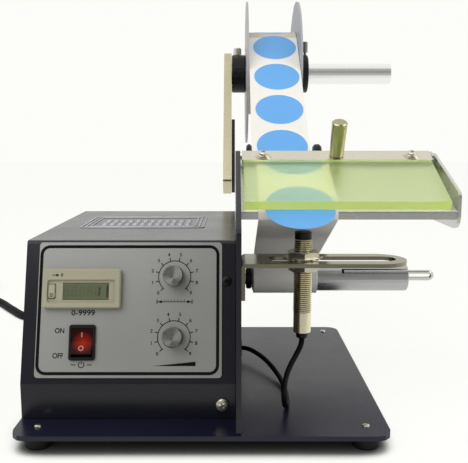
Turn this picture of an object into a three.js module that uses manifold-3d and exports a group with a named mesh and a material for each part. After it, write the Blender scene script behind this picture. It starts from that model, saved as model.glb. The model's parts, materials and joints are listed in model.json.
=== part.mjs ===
// A bench label dispenser. A roll of round labels hangs on a spindle behind the machine. Its paper web
// runs under a guide rod and down a sloping peel table, where each label comes loose and sticks out.
// The bare backing paper turns round the table's front lip and back to a roller, which a gear motor
// in the painted housing winds up. A sensor on a slotted bracket sees each label arrive.
// Lengths are millimetres and angles degrees. X runs to the right, Y to the back and Z up.
// The drawing has X = 0 on the left face of the side plate, Y = 0 at the front edge of the base plate
// and Z = 0 on the table. The whole machine then moves so that its origin lies under its middle.
import * as THREE from "three";
import { mergeVertices } from "three/addons/utils/BufferGeometryUtils.js";
import Module from "manifold-3d";

const wasm = await Module();
wasm.setup();

// Clearances
const seat = 0.3; // between two pieces that rest on each other
const slip = 0.3; // round a piece that turns or slides in another
const overrun = 4; // how far a cut runs past what it cuts
const weldDepth = 0.1; // how far two shapes of one piece run into each other

// Facet counts
const roundSides = 28;
const largeSides = 48;
const smallSides = 16;
const cornerSteps = 3;

// Base plate and feet
const baseWidth = 222.5;
const baseDepth = 217;
const baseThickness = 3;
const baseCorner = 9;
const baseLedge = 0.5; // base plate beyond the housing's left side
const footHeight = 8.7;
const footRadius = 9;
const footTipRadius = 8;
const footChamfer = 1;
const footInset = 13.5;
const footRecessRadius = 3.2;
const footRecessDepth = 4;

// Housing cover
const housingWidth = 130.7;
const housingDepth = 188.3;
const housingSetback = 23.7; // from the base plate's front edge
const housingWall = 1.5;
const housingBend = 2.5; // outer radius of its bends
const plinthHeight = 22; // the upright strip under the leaning face
const faceHeight = 88; // along the leaning face
const faceLean = 17.6; // degrees back from upright

// Rear panel
const rearPanelThickness = 1.5;
const rearPanelInset = 2;
const ventCount = 6;
const ventWidth = 4;
const ventHeight = 32;
const ventPitch = 9;
const ventEdge = 20; // from the panel's right edge to the first slot

// Side plate
const sideThickness = 3;
const sideFront = 2; // from the base plate's front edge
const sideFrontTop = 131;
const crownY = 84;
const crownZ = 173.5;
const crownRadius = 8;
const earTopY = 300;
const earTopZ = 168;
const earBackY = 316;
const earBackZ = 150;
const earLowY = 268;
const earLowZ = 96;
const heelY = 215;
const heelZ = 60;
const sideCorner = 4;

// Control plate, counter, switch and knobs, on the leaning face
const plateLeftInset = 8.5; // from the housing's left side
const plateRightInset = 8.4; // from the housing's right edge
const plateHeight = 83;
const plateRise = 3.6; // above the face's lower bend
const plateThickness = 1;
const plateCorner = 2;

const counterWidth = 48;
const counterHeight = 24;
const counterInset = 27.8; // its middle, from the control plate's left edge
const counterRise = 57.5;
const counterBezel = 5;
const counterBevel = 0.7;
const counterCorner = 1.5;
const counterBodyWidth = 44.8;
const counterBodyHeight = 22;
const counterBodyDepth = 48;
const recessWidth = 41.5;
const recessHeight = 14;
const recessDrop = 1.7; // recess centre below the bezel's centre
const recessDepth = 1.5;
const windowWidth = 27.7;
const windowHeight = 9.9;
const windowThickness = 1.6;
const windowShift = 2.7; // window centre right of the bezel's centre
const resetWidth = 3.8;
const resetHeight = 8.4;
const resetShift = -18;
const resetTravel = 1.2;
const resetDepth = 3;
const resetProud = 1.4;

const switchWidth = 16;
const switchHeight = 21.5;
const switchInset = 28.7; // its middle, from the control plate's left edge
const switchRise = 24.8;
const switchBezel = 2;
const switchBevel = 0.5;
const switchCorner = 1.5;
const switchBodyWidth = 14.6;
const switchBodyHeight = 19.4;
const switchBodyDepth = 22;
const switchPocketDepth = 12;
const rockerWidth = 12.6;
const rockerLength = 15.6;
const rockerValley = 3.4; // above the rocker's pivot
const rockerEnd = 5;
const rockerFoot = 13;
const rockerDepth = 4;
const rockerTilt = 9; // degrees each way
const switchSlot = 17.6; // length of the opening the rocker tips in

const knobInset = 29.3; // the knobs' middle, from the control plate's right edge
const lengthKnobRise = 65;
const speedKnobRise = 28;
const knobRadius = 6.3;
const knobLength = 12;
const knobLift = 0.7; // above the control plate
const knobChamfer = 0.6;
const knobWellRadius = 5.1;
const knobWellDepth = 3.8;
const knobLineWidth = 0.9;
const knobLineDepth = 0.7;
const knobLineLength = 3;
const lengthKnobAngle = 90; // index line, counter-clockwise from the top
const speedKnobAngle = 60;
const potRadius = 8.5;
const potDepth = 9;
const potBushRadius = 3.5;
const potBushProud = 3.7; // above the control plate
const potNutRadius = 4.6;
const potNutHeight = 2;
const potShaftRadius = 3;
const potShaftLength = 6.5;

// Take-up drive
const takeUpSetback = 56; // the roller's axis, in front of the housing's back edge
const takeUpZ = 71.8;
const gearModule = 1.3;
const gearTeeth = 42;
const pinionTeeth = 18;
const gearWidth = 8;
const gearPlay = 0.2; // taken off each tooth at the pitch line
const pressureAngle = 20; // degrees
const gearStandoff = 4.5; // from the side plate to the gear
const gearHoleCount = 4;
const gearHoleRadius = 6;
const takeUpShaftRadius = 6;
const motorShaftRadius = 4;
const motorFlangeGap = 3.8; // from the pinion to the motor's flange
const motorFlangeThickness = 2.5;
const motorFootLength = 30;
const gearboxSize = 60;
const gearboxLength = 24;
const gearboxCorner = 5;
const motorRadius = 28;
const motorLength = 24;
const motorShaftSeat = 8; // length held in the gearbox

// Take-up roller
const bearingRadius = 9;
const bearingFlangeRadius = 12;
const bearingFlange = 2;
const bearingReach = 3.2; // past the side plate's left face
const hubRadius = 9.5;
const hubLength = 4.5;
const hubGap = 3; // from the bearing flange to the hub
const rollerRadius = 11;
const rollerLength = 122.8;
const rollerBoreRadius = 8.5;
const rollerBoreDepth = 58;
const rollerChamfer = 0.7;
const slitWidth = 4;
const slitLength = 52.5;
const slitTilt = 36; // degrees above the front
const clipWireRadius = 1.6;
const clipInnerReach = 6; // from the roller's axis to the inner leg, towards the front
const clipProud = 16; // straight wire beyond the roller's end
const clipInnerLeg = 38; // of the inner leg, inside the roller
const woundPaper = 1.5; // thickness of the paper wound so far

// Label web
const webWidth = 50;
const webRightGap = 0.5; // to the inner disc
const webThickness = 0.4;
const labelRadius = 22.5;
const labelLay = -0.8; // centre of the label at the peel edge, up the table
const labelShift = 1.3; // and to the right of the web's middle

// Peel table
const tableSlope = 27; // degrees
const noseY = 52.8; // centre of the bend at the peel edge
const noseZ = 135.4;
const tableSheet = 1.5;
const tableBend = 0.8; // inner radius of its bends
const tableLength = 64; // between the bend centres
const tableLip = 4; // below the front bend's centre
const tableBackLip = 8;
const tableWidth = 134.9;
const lugThickness = 1.5;
const lugHeight = 9;
const lugLength = 6.5;
const lugInset = 0.7;

// Cover: clamp bar, acrylic plate and lift pin, in the table's own frame
const acrylicInset = 5.1; // from the side plate's left face
const acrylicEndGap = 4.1; // from the table's right edge
const acrylicThickness = 6;
const acrylicLift = 0.7; // above the web
const acrylicLength = 50.5;
const acrylicOverhang = 2; // past the centre of the bend at the peel edge
const acrylicBevel = 0.6;
const tongueLength = 7;
const tongueThickness = 2.5;
const barInset = 4.3; // from the side plate's left face
const barEndGap = 3.1; // from the table's right edge
const barDepth = 13;
const barThickness = 3.2; // over the acrylic's tongue
const barKeel = 5.5; // full thickness at its back
const barChamfer = 1.5;
const coverRodRadius = 1.3;
const coverRodLift = 2.4; // above the bar's underside
const coverRodSetback = 3; // from the bar's back edge
const liftPinRadius = 4.8;
const liftPinTopRadius = 5.3;
const liftPinLength = 25;
const liftPinChamfer = 0.8;

// End cheek
const cheekThickness = 2;
const cheekFront = 49.5;
const cheekFrontTop = 148;
const cheekBack = 112;
const cheekBackTop = 173.5;
const cheekBottom = 125;
const cheekCorner = 8;

// Guide rod
const guideY = 192;
const guideZ = 166;
const guideRadius = 4;
const guideLength = 126;
const guideStubRadius = 2;
const guideCollarRadius = 10.5;
const guideCollarChamfer = 1.5;
const leftCollarLength = 4.5;
const rightCollarLength = 6.4;
const webMargin = 0.5; // from the web's edge to a guide collar

// Supply arm and spindle
const spindleY = 374.4;
const spindleZ = 250.2;
const spindleRadius = 11;
const spindleBore = 8;
const spindleLength = 180;
const armThickness = 8;
const armWidth = 25;
const armFootY = 282.5;
const armFootZ = 134.3;
const armFootEnd = 1.5;
const armHeadEnd = 20;
const armCorner = 3;
const spacerThickness = 3.2;
const spacerWidth = 20;
const spacerFootEnd = 0.5;
const spacerLength = 76;
const innerCollarRadius = 20;
const innerCollarLength = 14.7;
const collarChamfer = 1;
const outerCollarRadius = 20;
const outerCollarLength = 11.6;
const discRadius = 74.5;
const discThickness = 2;
const rollPlay = 0.5; // between the roll and each disc
const rollRadius = 43.4;
const coreWall = 2.4;
const coreProud = 0.2;
const innerScrewX = 2.5;
const innerScrewRadius = 2;
const innerScrewHead = 4.3;
const innerScrewHeadHeight = 7;
const innerScrewStandoff = 0.3;
const outerScrewX = 75.9;
const outerScrewRadius = 1.5;
const outerScrewHead = 2.9;
const outerScrewHeadHeight = 11;
const outerScrewStandoff = 3; // from the collar to the screw's head

// Sensor bracket and sensor
const bracketThickness = 2.5;
const bracketTop = 104.7;
const bracketDepth = 36;
const bracketY = 60;
const bracketLength = 106.7;
const bracketDrop = 23.4;
const bracketBend = 3;
const bracketSlot = 16;
const bracketSlotLength = 83.8;
const bracketSlotStart = 16.2; // from the bracket's left face
const sensorX = 43.5;
const sensorY = 61;
const sensorRadius = 6;
const sensorBottom = 55.6;
const sensorTop = 122.4;
const sensorCapHeight = 4.6;
const sensorCapRadius = 5.5;
const sensorBootRadius = 4;
const sensorBootLength = 4;
const sensorThreadStart = 14; // above the body's lower end
const sensorThreadRelief = 0.25;
const nutFlats = 19;
const nutHeight = 4;
const nutFaceRadius = 9.2; // of the flat face inside its chamfer
const nutChamferAngle = 30; // degrees
const washerRadius = 11.7;
const washerThickness = 1;

// Sensor cable and its grommet
const cableRadius = 1.75;
const cableSides = 8;
const grommetY = 134.9;
const grommetZ = 20;
const grommetHole = 4.5;
const grommetFlange = 6.5;
const grommetLip = 1.5;

// Mains cord
const cordRadius = 3.5;
const cordSides = 8;
const cordSteps = 28;
const cordExitX = -95;
const cordExitZ = 32;
const reliefLength = 30;
const reliefRootRadius = 6.5;
const reliefTipRadius = 4.6;
const reliefFlange = 8;
const reliefFlangeThickness = 2.5;
const reliefNeck = 5.5;
const reliefRibs = 4;
const reliefRibDepth = 0.5;
const coilX = -338.5;
const coilY = 405;
const coilInner = 31; // least radius of its centre line
const coilPitch = 7.7; // from one turn to the next, sideways and upwards
const coilTurns = 2.75; // in each of its two layers
const coilStepsPerTurn = 24;
const coilSides = 6;
const coilTail = 16; // straight stretch where the free cord arrives
const plugTail = 42; // straight stretch to the plug
const tailSteps = 3;
const tieThickness = 0.8;
const tieWidth = 8;
const tieSlack = 0.8;
const tieCorner = 3;
const tieAngle = 150; // degrees round the coil
const plugLength = 34;
const plugWidth = 25;
const plugHeight = 23;
const plugNeck = 13; // width at its cord end
const plugCorner = 3;
const plugBevel = 1.5;
const plugBore = 5; // how far the cord goes in
const bladeLength = 17;
const bladeWidth = 6.4;
const bladeThickness = 1.6;
const bladeSpacing = 12.7;
const bladeLift = 4.2;
const earthPinRadius = 2.4;
const earthPinDrop = 7.4;

// Inside the housing
const boardWidth = 46;
const boardThickness = 1.6;
const boardStandoff = 6;
const boardStandoffRadius = 2.5;
const boardStandoffInset = 4;
const boardLeftGap = 8; // from the housing's left wall
const boardFrontGap = 40; // from the housing's front
const boardRearGap = 70.3; // from the housing's back edge
const boardPartHeight = 14;
// Parts on the board: left, right, front, back and height, as shares of its width, depth and part height
const boardPartShares = [
  [0.1, 0.45, 0.08, 0.34, 1],
  [0.58, 0.9, 0.1, 0.3, 0.8],
  [0.12, 0.34, 0.45, 0.7, 0.5],
  [0.5, 0.88, 0.42, 0.62, 0.35],
  [0.14, 0.86, 0.84, 0.95, 0.7],
];
const coreWidth = 52;
const coreDepth = 22;
const coreHeight = 44;
const bobbinDepth = 40;
const bobbinInset = 9;
const transformerFoot = 2;
const transformerFootReach = 9;
const transformerLeftGap = 14;
const transformerBackGap = 34; // from the rear panel to the core's middle

// Heights and places that follow from these
const baseZ = footHeight + seat;
const baseTop = baseZ + baseThickness;
const deckZ = baseTop + seat; // underside of what stands on the base plate
const housingRight = -seat;
const housingLeft = housingRight - housingWidth;
const housingRear = housingSetback + housingDepth;
const kinkZ = deckZ + plinthHeight;
const lean = THREE.MathUtils.degToRad(faceLean);
const faceTopY = housingSetback + faceHeight * Math.sin(lean);
const housingTop = kinkZ + faceHeight * Math.cos(lean);
const baseLeft = housingLeft - baseLedge;
const baseRight = baseLeft + baseWidth;
const plateLeft = housingLeft + plateLeftInset;
const plateRight = housingRight - plateRightInset;
const counterX = plateLeft + counterInset;
const switchX = plateLeft + switchInset;
const knobX = plateRight - knobInset;
const sideRight = sideThickness + seat; // left face of what bolts to the side plate's right
const tableRight = sideRight + tableWidth;
const acrylicRight = tableRight - acrylicEndGap;
const barRight = tableRight - barEndGap;
const takeUpY = housingRear - takeUpSetback;
const pinionY = takeUpY - (gearModule * (gearTeeth + pinionTeeth)) / 2;
const gearRight = -gearStandoff;
const gearLeft = gearRight - gearWidth;
const armRight = -seat - spacerThickness - seat;
const armLeft = armRight - armThickness;
const innerCollarLeft = armRight + seat;
const innerDiscLeft = innerCollarLeft + innerCollarLength + seat;
const rollLeft = innerDiscLeft + discThickness + rollPlay;
const webLeft = rollLeft;
const webRight = webLeft + webWidth;
const webMiddle = webLeft + webWidth / 2;
const outerDiscLeft = webRight + webRightGap;
const outerCollarLeft = outerDiscLeft + discThickness + seat;
const rearPanelBack = housingRear - rearPanelInset;

// Finishes
function finish(color, roughness, metalness, more = {}) {
  return new THREE.MeshStandardMaterial({ color, roughness, metalness, ...more });
}
const navyPaint = finish("#2e2e39", 0.45, 0.2);
const satinAluminium = finish("#a2a3a3", 0.35, 0.9);
const platePanel = finish("#969793", 0.5, 0.5);
const nickel = finish("#c4bb9c", 0.3, 0.9);
const darkNickel = finish("#7c7a68", 0.35, 0.9);
const stainless = finish("#a7a7a2", 0.3, 0.95);
const blackPlastic = finish("#141416", 0.5, 0);
const rubber = finish("#161617", 0.8, 0);
const beigePlastic = finish("#c3bfa3", 0.5, 0);
const lcdGreen = finish("#59623f", 0.25, 0);
const redLens = finish("#c0281c", 0.25, 0, { emissive: "#a01208", emissiveIntensity: 0.4 });
const paleAcrylic = finish("#dfe6a0", 0.2, 0, { transparent: true, opacity: 0.7 });
const creamPaper = finish("#f1ece2", 0.8, 0);
const greyPaper = finish("#8f8b86", 0.8, 0);
const greyDisc = finish("#b2b3b6", 0.4, 0.1);
const steelCore = finish("#5b5b5e", 0.5, 0.8);
const boardGreen = finish("#2c6a43", 0.5, 0);
const greyPlastic = finish("#8b8c8e", 0.5, 0);

// Solids: joining and cutting closed meshes
function toSolid(geometry) {
  const bare = geometry.index ? geometry.toNonIndexed() : geometry.clone();
  bare.deleteAttribute("normal");
  bare.deleteAttribute("uv");
  const merged = mergeVertices(bare);
  const vertProperties = merged.attributes.position.array;
  const triVerts = new Uint32Array(merged.index.array);
  return new wasm.Manifold(new wasm.Mesh({ numProp: 3, vertProperties, triVerts }));
}

function toGeometry(solid) {
  const made = solid.getMesh();
  const geometry = new THREE.BufferGeometry();
  geometry.setAttribute("position", new THREE.BufferAttribute(made.vertProperties, made.numProp));
  geometry.setIndex(new THREE.BufferAttribute(made.triVerts, 1));
  const faceted = geometry.toNonIndexed();
  faceted.computeVertexNormals();
  return faceted;
}

function cut(body, ...tools) {
  return toGeometry(tools.reduce((left, tool) => left.subtract(toSolid(tool)), toSolid(body)));
}

function join(body, ...others) {
  return toGeometry(others.reduce((whole, other) => whole.add(toSolid(other)), toSolid(body)));
}

function common(body, other) {
  return toGeometry(toSolid(body).intersect(toSolid(other)));
}

// Outlines: corners as [a, b] pairs, counter-clockwise, each rounded to its radius
function outline(corners, radii = 0) {
  const points = [];
  corners.forEach(([a, b], i) => {
    const here = new THREE.Vector2(a, b);
    const radius = Array.isArray(radii) ? radii[i] : radii;
    if (!radius) {
      points.push(here);
      return;
    }
    const before = new THREE.Vector2(...corners.at(i - 1)).sub(here).normalize();
    const after = new THREE.Vector2(...corners[(i + 1) % corners.length]).sub(here).normalize();
    const half = Math.acos(before.dot(after)) / 2;
    const middle = before.clone().add(after).normalize().multiplyScalar(radius / Math.sin(half)).add(here);
    const first = here.clone().addScaledVector(before, radius / Math.tan(half));
    const sweep = (Math.PI - 2 * half) * -Math.sign(before.cross(after));
    for (let k = 0; k <= cornerSteps; k += 1) {
      points.push(first.clone().rotateAround(middle, (sweep * k) / cornerSteps));
    }
  });
  return new THREE.Shape(points);
}

function rectangle(a0, a1, b0, b1, radius = 0) {
  return outline([[a0, b0], [a1, b0], [a1, b1], [a0, b1]], radius);
}

function slotOutline(a0, a1, b, halfWidth) {
  const shape = new THREE.Shape();
  shape.absarc(a1 - halfWidth, b, halfWidth, -Math.PI / 2, Math.PI / 2, false);
  shape.absarc(a0 + halfWidth, b, halfWidth, Math.PI / 2, (3 * Math.PI) / 2, false);
  return shape;
}

// Solids from an outline: along Z from an outline in X and Y, or along X from one in Y and Z
function alongZ(shape, z0, z1, bevel = 0) {
  const geometry = new THREE.ExtrudeGeometry(shape, {
    depth: z1 - z0 - 2 * bevel,
    curveSegments: roundSides / 4,
    bevelEnabled: bevel > 0,
    bevelThickness: bevel,
    bevelSize: bevel,
    bevelOffset: -bevel,
    bevelSegments: 1,
  });
  return geometry.translate(0, 0, z0 + bevel);
}

const yzToX = new THREE.Matrix4().makeBasis(
  new THREE.Vector3(0, 1, 0),
  new THREE.Vector3(0, 0, 1),
  new THREE.Vector3(1, 0, 0),
);

function alongX(shape, x0, x1, bevel = 0) {
  return alongZ(shape, x0, x1, bevel).applyMatrix4(yzToX);
}

function block(x0, x1, y0, y1, z0, z1) {
  const geometry = new THREE.BoxGeometry(x1 - x0, y1 - y0, z1 - z0);
  return geometry.translate((x0 + x1) / 2, (y0 + y1) / 2, (z0 + z1) / 2);
}

// Turned pieces: a profile of [radius, height] pairs round the Z axis, or round an axis along X
function turned(profile, sides = roundSides) {
  const points = profile.map(([radius, height]) => new THREE.Vector2(radius, height));
  if (points[0].x > 0) points.push(points[0].clone());
  if (THREE.ShapeUtils.area(points) < 0) points.reverse();
  return new THREE.LatheGeometry(points, sides).rotateX(Math.PI / 2);
}

function turnedX(profile, y, z, sides = roundSides) {
  return turned(profile, sides).rotateY(Math.PI / 2).translate(0, y, z);
}

function ringProfile(inner, outer, h0, h1, chamfer = 0) {
  if (!chamfer) return [[inner, h0], [outer, h0], [outer, h1], [inner, h1]];
  return [
    [inner, h0],
    [outer - chamfer, h0],
    [outer, h0 + chamfer],
    [outer, h1 - chamfer],
    [outer - chamfer, h1],
    [inner, h1],
  ];
}

function rodZ(radius, x, y, z0, z1, sides = roundSides) {
  return turned(ringProfile(0, radius, z0, z1), sides).translate(x, y, 0);
}

function rodX(radius, y, z, x0, x1, sides = roundSides) {
  return turnedX(ringProfile(0, radius, x0, x1), y, z, sides);
}

// Tubes and wires: a polygon swept along a smooth curve, at even steps or with one section at each point
function swept(curve, radius, sides, steps) {
  const section = new THREE.Shape();
  for (let i = 0; i < sides; i += 1) {
    const turn = (2 * Math.PI * i) / sides;
    const point = [radius * Math.cos(turn), radius * Math.sin(turn)];
    if (i) section.lineTo(...point);
    else section.moveTo(...point);
  }
  return new THREE.ExtrudeGeometry(section, { steps, extrudePath: curve });
}

function sweptThrough(points, radius, sides) {
  const curve = new THREE.CatmullRomCurve3(points);
  curve.getPointAt = curve.getPoint;
  curve.getTangentAt = curve.getTangent;
  return swept(curve, radius, sides, points.length - 1);
}

// Machine and its pieces
const machine = new THREE.Group();

function piece(name, geometry, material, parent = machine) {
  const mesh = new THREE.Mesh(geometry, material);
  mesh.name = name;
  parent.add(mesh);
  return mesh;
}

// Frame of the leaning face: X along the machine, Y up the face, Z out of it
const face = new THREE.Group();
face.position.set(0, housingSetback, kinkZ);
face.rotation.x = Math.PI / 2 - lean;
face.updateMatrix();
machine.add(face);

// Frame of the peel table: Y up the slope, Z off its surface, from the bend at the peel edge
const slope = THREE.MathUtils.degToRad(tableSlope);
const table = new THREE.Group();
table.position.set(0, noseY, noseZ);
table.rotation.x = slope;
table.updateMatrix();
machine.add(table);

function onTable(up, off) {
  return [
    noseY + up * Math.cos(slope) - off * Math.sin(slope),
    noseZ + up * Math.sin(slope) + off * Math.cos(slope),
  ];
}

// Base plate on four rubber feet
function makeBase() {
  const plan = rectangle(baseLeft, baseRight, 0, baseDepth, baseCorner);
  piece("base_plate", alongZ(plan, baseZ, baseTop), navyPaint);
  const footProfile = [
    [0, footRecessDepth],
    [footRecessRadius, footRecessDepth],
    [footRecessRadius, 0],
    [footTipRadius - footChamfer, 0],
    [footTipRadius, footChamfer],
    [footRadius, footHeight],
    [0, footHeight],
  ];
  const places = {
    foot_front_left: [baseLeft + footInset, footInset],
    foot_front_right: [baseRight - footInset, footInset],
    foot_back_left: [baseLeft + footInset, baseDepth - footInset],
    foot_back_right: [baseRight - footInset, baseDepth - footInset],
  };
  for (const [name, [x, y]] of Object.entries(places)) {
    piece(name, turned(footProfile, roundSides), rubber).position.set(x, y, 0);
  }
}

// Openings of the leaning face, each a little larger than what passes through
function faceOpenings(z0, z1) {
  const openings = [
    [counterX, counterRise, counterBodyWidth, counterBodyHeight],
    [switchX, switchRise, switchBodyWidth, switchBodyHeight],
  ].map(([x, rise, width, height]) => {
    const halfWidth = width / 2 + slip;
    const halfHeight = height / 2 + slip;
    return block(x - halfWidth, x + halfWidth, rise - halfHeight, rise + halfHeight, z0, z1);
  });
  const bushHoles = [lengthKnobRise, speedKnobRise].map((rise) =>
    rodZ(potBushRadius + slip, knobX, rise, z0, z1, smallSides),
  );
  return [...openings, ...bushHoles];
}

// Folded sheet cover, open below, behind and towards the side plate
function makeHousing() {
  const outer = outline(
    [
      [housingSetback, deckZ],
      [housingRear, deckZ],
      [housingRear, housingTop],
      [faceTopY, housingTop],
      [housingSetback, kinkZ],
    ],
    [0, 0, 0, housingBend, housingBend],
  );
  const shift = housingWall / Math.cos(lean); // the leaning wall's thickness, measured along Y
  const tangent = Math.tan(lean);
  const innerTop = housingTop - housingWall;
  const innerFront = housingSetback + housingWall;
  const inner = outline(
    [
      [innerFront, deckZ - overrun],
      [housingRear + overrun, deckZ - overrun],
      [housingRear + overrun, innerTop],
      [housingSetback + shift + (innerTop - kinkZ) * tangent, innerTop],
      [innerFront, kinkZ - (shift - housingWall) / tangent],
    ],
    [0, 0, 0, housingBend - housingWall, housingBend - housingWall],
  );
  const openings = faceOpenings(-housingWall - overrun, overrun).map((tool) =>
    tool.applyMatrix4(face.matrix),
  );
  const cover = cut(
    alongX(outer, housingLeft, housingRight),
    alongX(inner, housingLeft + housingWall, housingRight + overrun),
    ...openings,
  );
  piece("housing_cover", cover, navyPaint);
}

// Back wall inside the cover, with air slots and the hole of the cord's strain relief
function makeRearPanel() {
  const left = housingLeft + housingWall + seat;
  const top = housingTop - housingWall - seat;
  const front = rearPanelBack - rearPanelThickness;
  const panel = block(left, housingRight, front, rearPanelBack, deckZ, top);
  const slots = Array.from({ length: ventCount }, (_, i) => {
    const x = housingRight - ventEdge - i * ventPitch;
    const middle = (deckZ + top) / 2;
    return block(
      x - ventWidth,
      x,
      front - overrun,
      rearPanelBack + overrun,
      middle - ventHeight / 2,
      middle + ventHeight / 2,
    );
  });
  const hole = rodZ(reliefNeck + slip, 0, 0, -overrun, rearPanelThickness + overrun, smallSides)
    .rotateX(-Math.PI / 2)
    .translate(cordExitX, front, cordExitZ);
  piece("rear_panel", cut(panel, ...slots, hole), navyPaint);
}

// Upright plate that carries the drive, the table, the guide rod and the supply arm
function makeSidePlate() {
  const shape = outline(
    [
      [sideFront, deckZ],
      [heelY, deckZ],
      [heelY, heelZ],
      [earLowY, earLowZ],
      [earBackY, earBackZ],
      [earTopY, earTopZ],
      [crownY, crownZ],
      [sideFront, sideFrontTop],
    ],
    [0, 0, sideCorner, sideCorner, sideCorner, sideCorner, crownRadius, sideCorner],
  );
  const [rodY, rodHeight] = coverRodAt();
  const holes = [
    [bearingRadius, takeUpY, takeUpZ, roundSides],
    [guideStubRadius, guideY, guideZ, smallSides],
    [coverRodRadius, rodY, rodHeight, smallSides],
    [grommetHole - slip, grommetY, grommetZ, smallSides],
  ].map(([radius, y, z, sides]) => rodX(radius + slip, y, z, -overrun, sideThickness + overrun, sides));
  piece("side_plate", cut(alongX(shape, 0, sideThickness), ...holes), navyPaint);
}

// Satin plate on the leaning face
function makeControlPlate() {
  const shape = rectangle(plateLeft, plateRight, plateRise, plateRise + plateHeight, plateCorner);
  const plate = alongZ(shape, seat, seat + plateThickness);
  piece("control_plate", cut(plate, ...faceOpenings(-overrun, overrun)), platePanel, face);
}

const plateTop = seat + plateThickness; // above the leaning face
const bezelBase = plateTop + seat;

// Panel counter: a moulded case with a recessed front, its display window and a reset button
function makeCounter() {
  const front = bezelBase + counterBezel;
  const floor = front - recessDepth;
  const recessRise = counterRise - recessDrop;
  const centred = (width, height, x, rise, radius) =>
    rectangle(x - width / 2, x + width / 2, rise - height / 2, rise + height / 2, radius);
  const bezel = alongZ(
    centred(counterWidth, counterHeight, counterX, counterRise, counterCorner),
    bezelBase,
    front,
    counterBevel,
  );
  const body = alongZ(
    centred(counterBodyWidth, counterBodyHeight, counterX, counterRise, 0),
    bezelBase - counterBodyDepth,
    bezelBase + counterBevel + weldDepth,
  );
  const recess = alongZ(
    centred(recessWidth, recessHeight, counterX, recessRise, counterCorner),
    floor,
    front + overrun,
  );
  const windowX = counterX + windowShift;
  const windowPocket = alongZ(
    centred(windowWidth + 2 * slip, windowHeight + 2 * slip, windowX, recessRise, 0),
    floor - windowThickness - seat,
    front + overrun,
  );
  const resetX = counterX + resetShift;
  const resetBack = floor - resetDepth;
  const resetPocket = alongZ(
    centred(resetWidth + 2 * slip, resetHeight + 2 * slip, resetX, recessRise, 0),
    resetBack - resetTravel - seat,
    front + overrun,
  );
  piece("counter_case", cut(join(bezel, body), recess, windowPocket, resetPocket), beigePlastic, face);
  const pane = alongZ(centred(windowWidth, windowHeight, windowX, recessRise, 0), floor - windowThickness, floor);
  piece("counter_window", pane, lcdGreen, face);
  const button = alongZ(
    centred(resetWidth, resetHeight, resetX, recessRise, resetWidth / 4),
    resetBack,
    floor + resetProud,
    knobChamfer / 2,
  );
  piece("reset_button", button, beigePlastic, face);
}

// Rocker switch: the frame holds a rocker that tips about a line at the height of the leaning face
function makeSwitch() {
  const front = bezelBase + switchBezel;
  const centred = (width, height, radius) =>
    rectangle(switchX - width / 2, switchX + width / 2, switchRise - height / 2, switchRise + height / 2, radius);
  const bezel = alongZ(centred(switchWidth, switchHeight, switchCorner), bezelBase, front, switchBevel);
  const body = alongZ(
    centred(switchBodyWidth, switchBodyHeight, 0),
    bezelBase - switchBodyDepth,
    bezelBase + switchBevel + weldDepth,
  );
  const pocket = alongZ(
    centred(rockerWidth + 2 * slip, switchSlot, 0),
    front - switchPocketDepth,
    front + overrun,
  );
  piece("switch_frame", cut(join(bezel, body), pocket), blackPlastic, face);
  const half = rockerLength / 2;
  const profile = outline([
    [-rockerFoot / 2, -rockerDepth],
    [rockerFoot / 2, -rockerDepth],
    [half, rockerEnd],
    [0, rockerValley],
    [-half, rockerEnd],
  ]);
  const rocker = piece("switch_rocker", alongX(profile, -rockerWidth / 2, rockerWidth / 2), redLens, face);
  rocker.position.set(switchX, switchRise, 0);
  rocker.rotation.x = -THREE.MathUtils.degToRad(rockerTilt);
}

// Dial knob on its potentiometer, which is nutted behind the face
function makeDial(knobName, potName, rise, angle) {
  const nutBase = plateTop + seat;
  const bushTop = plateTop + potBushProud;
  const shaftTop = bushTop + potShaftLength;
  const behind = -housingWall - seat;
  const pot = turned(
    [
      [0, behind - potDepth],
      [potRadius, behind - potDepth],
      [potRadius, behind],
      [potBushRadius, behind],
      [potBushRadius, nutBase],
      [potNutRadius, nutBase],
      [potNutRadius, nutBase + potNutHeight],
      [potBushRadius, nutBase + potNutHeight],
      [potBushRadius, bushTop],
      [potShaftRadius, bushTop],
      [potShaftRadius, shaftTop],
      [0, shaftTop],
    ],
    smallSides,
  );
  piece(potName, pot, greyPlastic, face).position.set(knobX, rise, 0);
  const base = plateTop + knobLift;
  const top = base + knobLength;
  const body = turned([
    [0, shaftTop + slip],
    [potShaftRadius + slip, shaftTop + slip],
    [potShaftRadius + slip, base + knobWellDepth],
    [knobWellRadius, base + knobWellDepth],
    [knobWellRadius, base],
    [knobRadius, base],
    [knobRadius, top - knobChamfer],
    [knobRadius - knobChamfer, top],
    [0, top],
  ]);
  const line = block(
    -knobLineWidth / 2,
    knobLineWidth / 2,
    knobRadius - knobLineLength,
    knobRadius + overrun,
    top - knobLineDepth,
    top + overrun,
  );
  const knob = piece(knobName, cut(body, line), satinAluminium, face);
  knob.position.set(knobX, rise, 0);
  knob.rotation.z = THREE.MathUtils.degToRad(angle);
}

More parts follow.
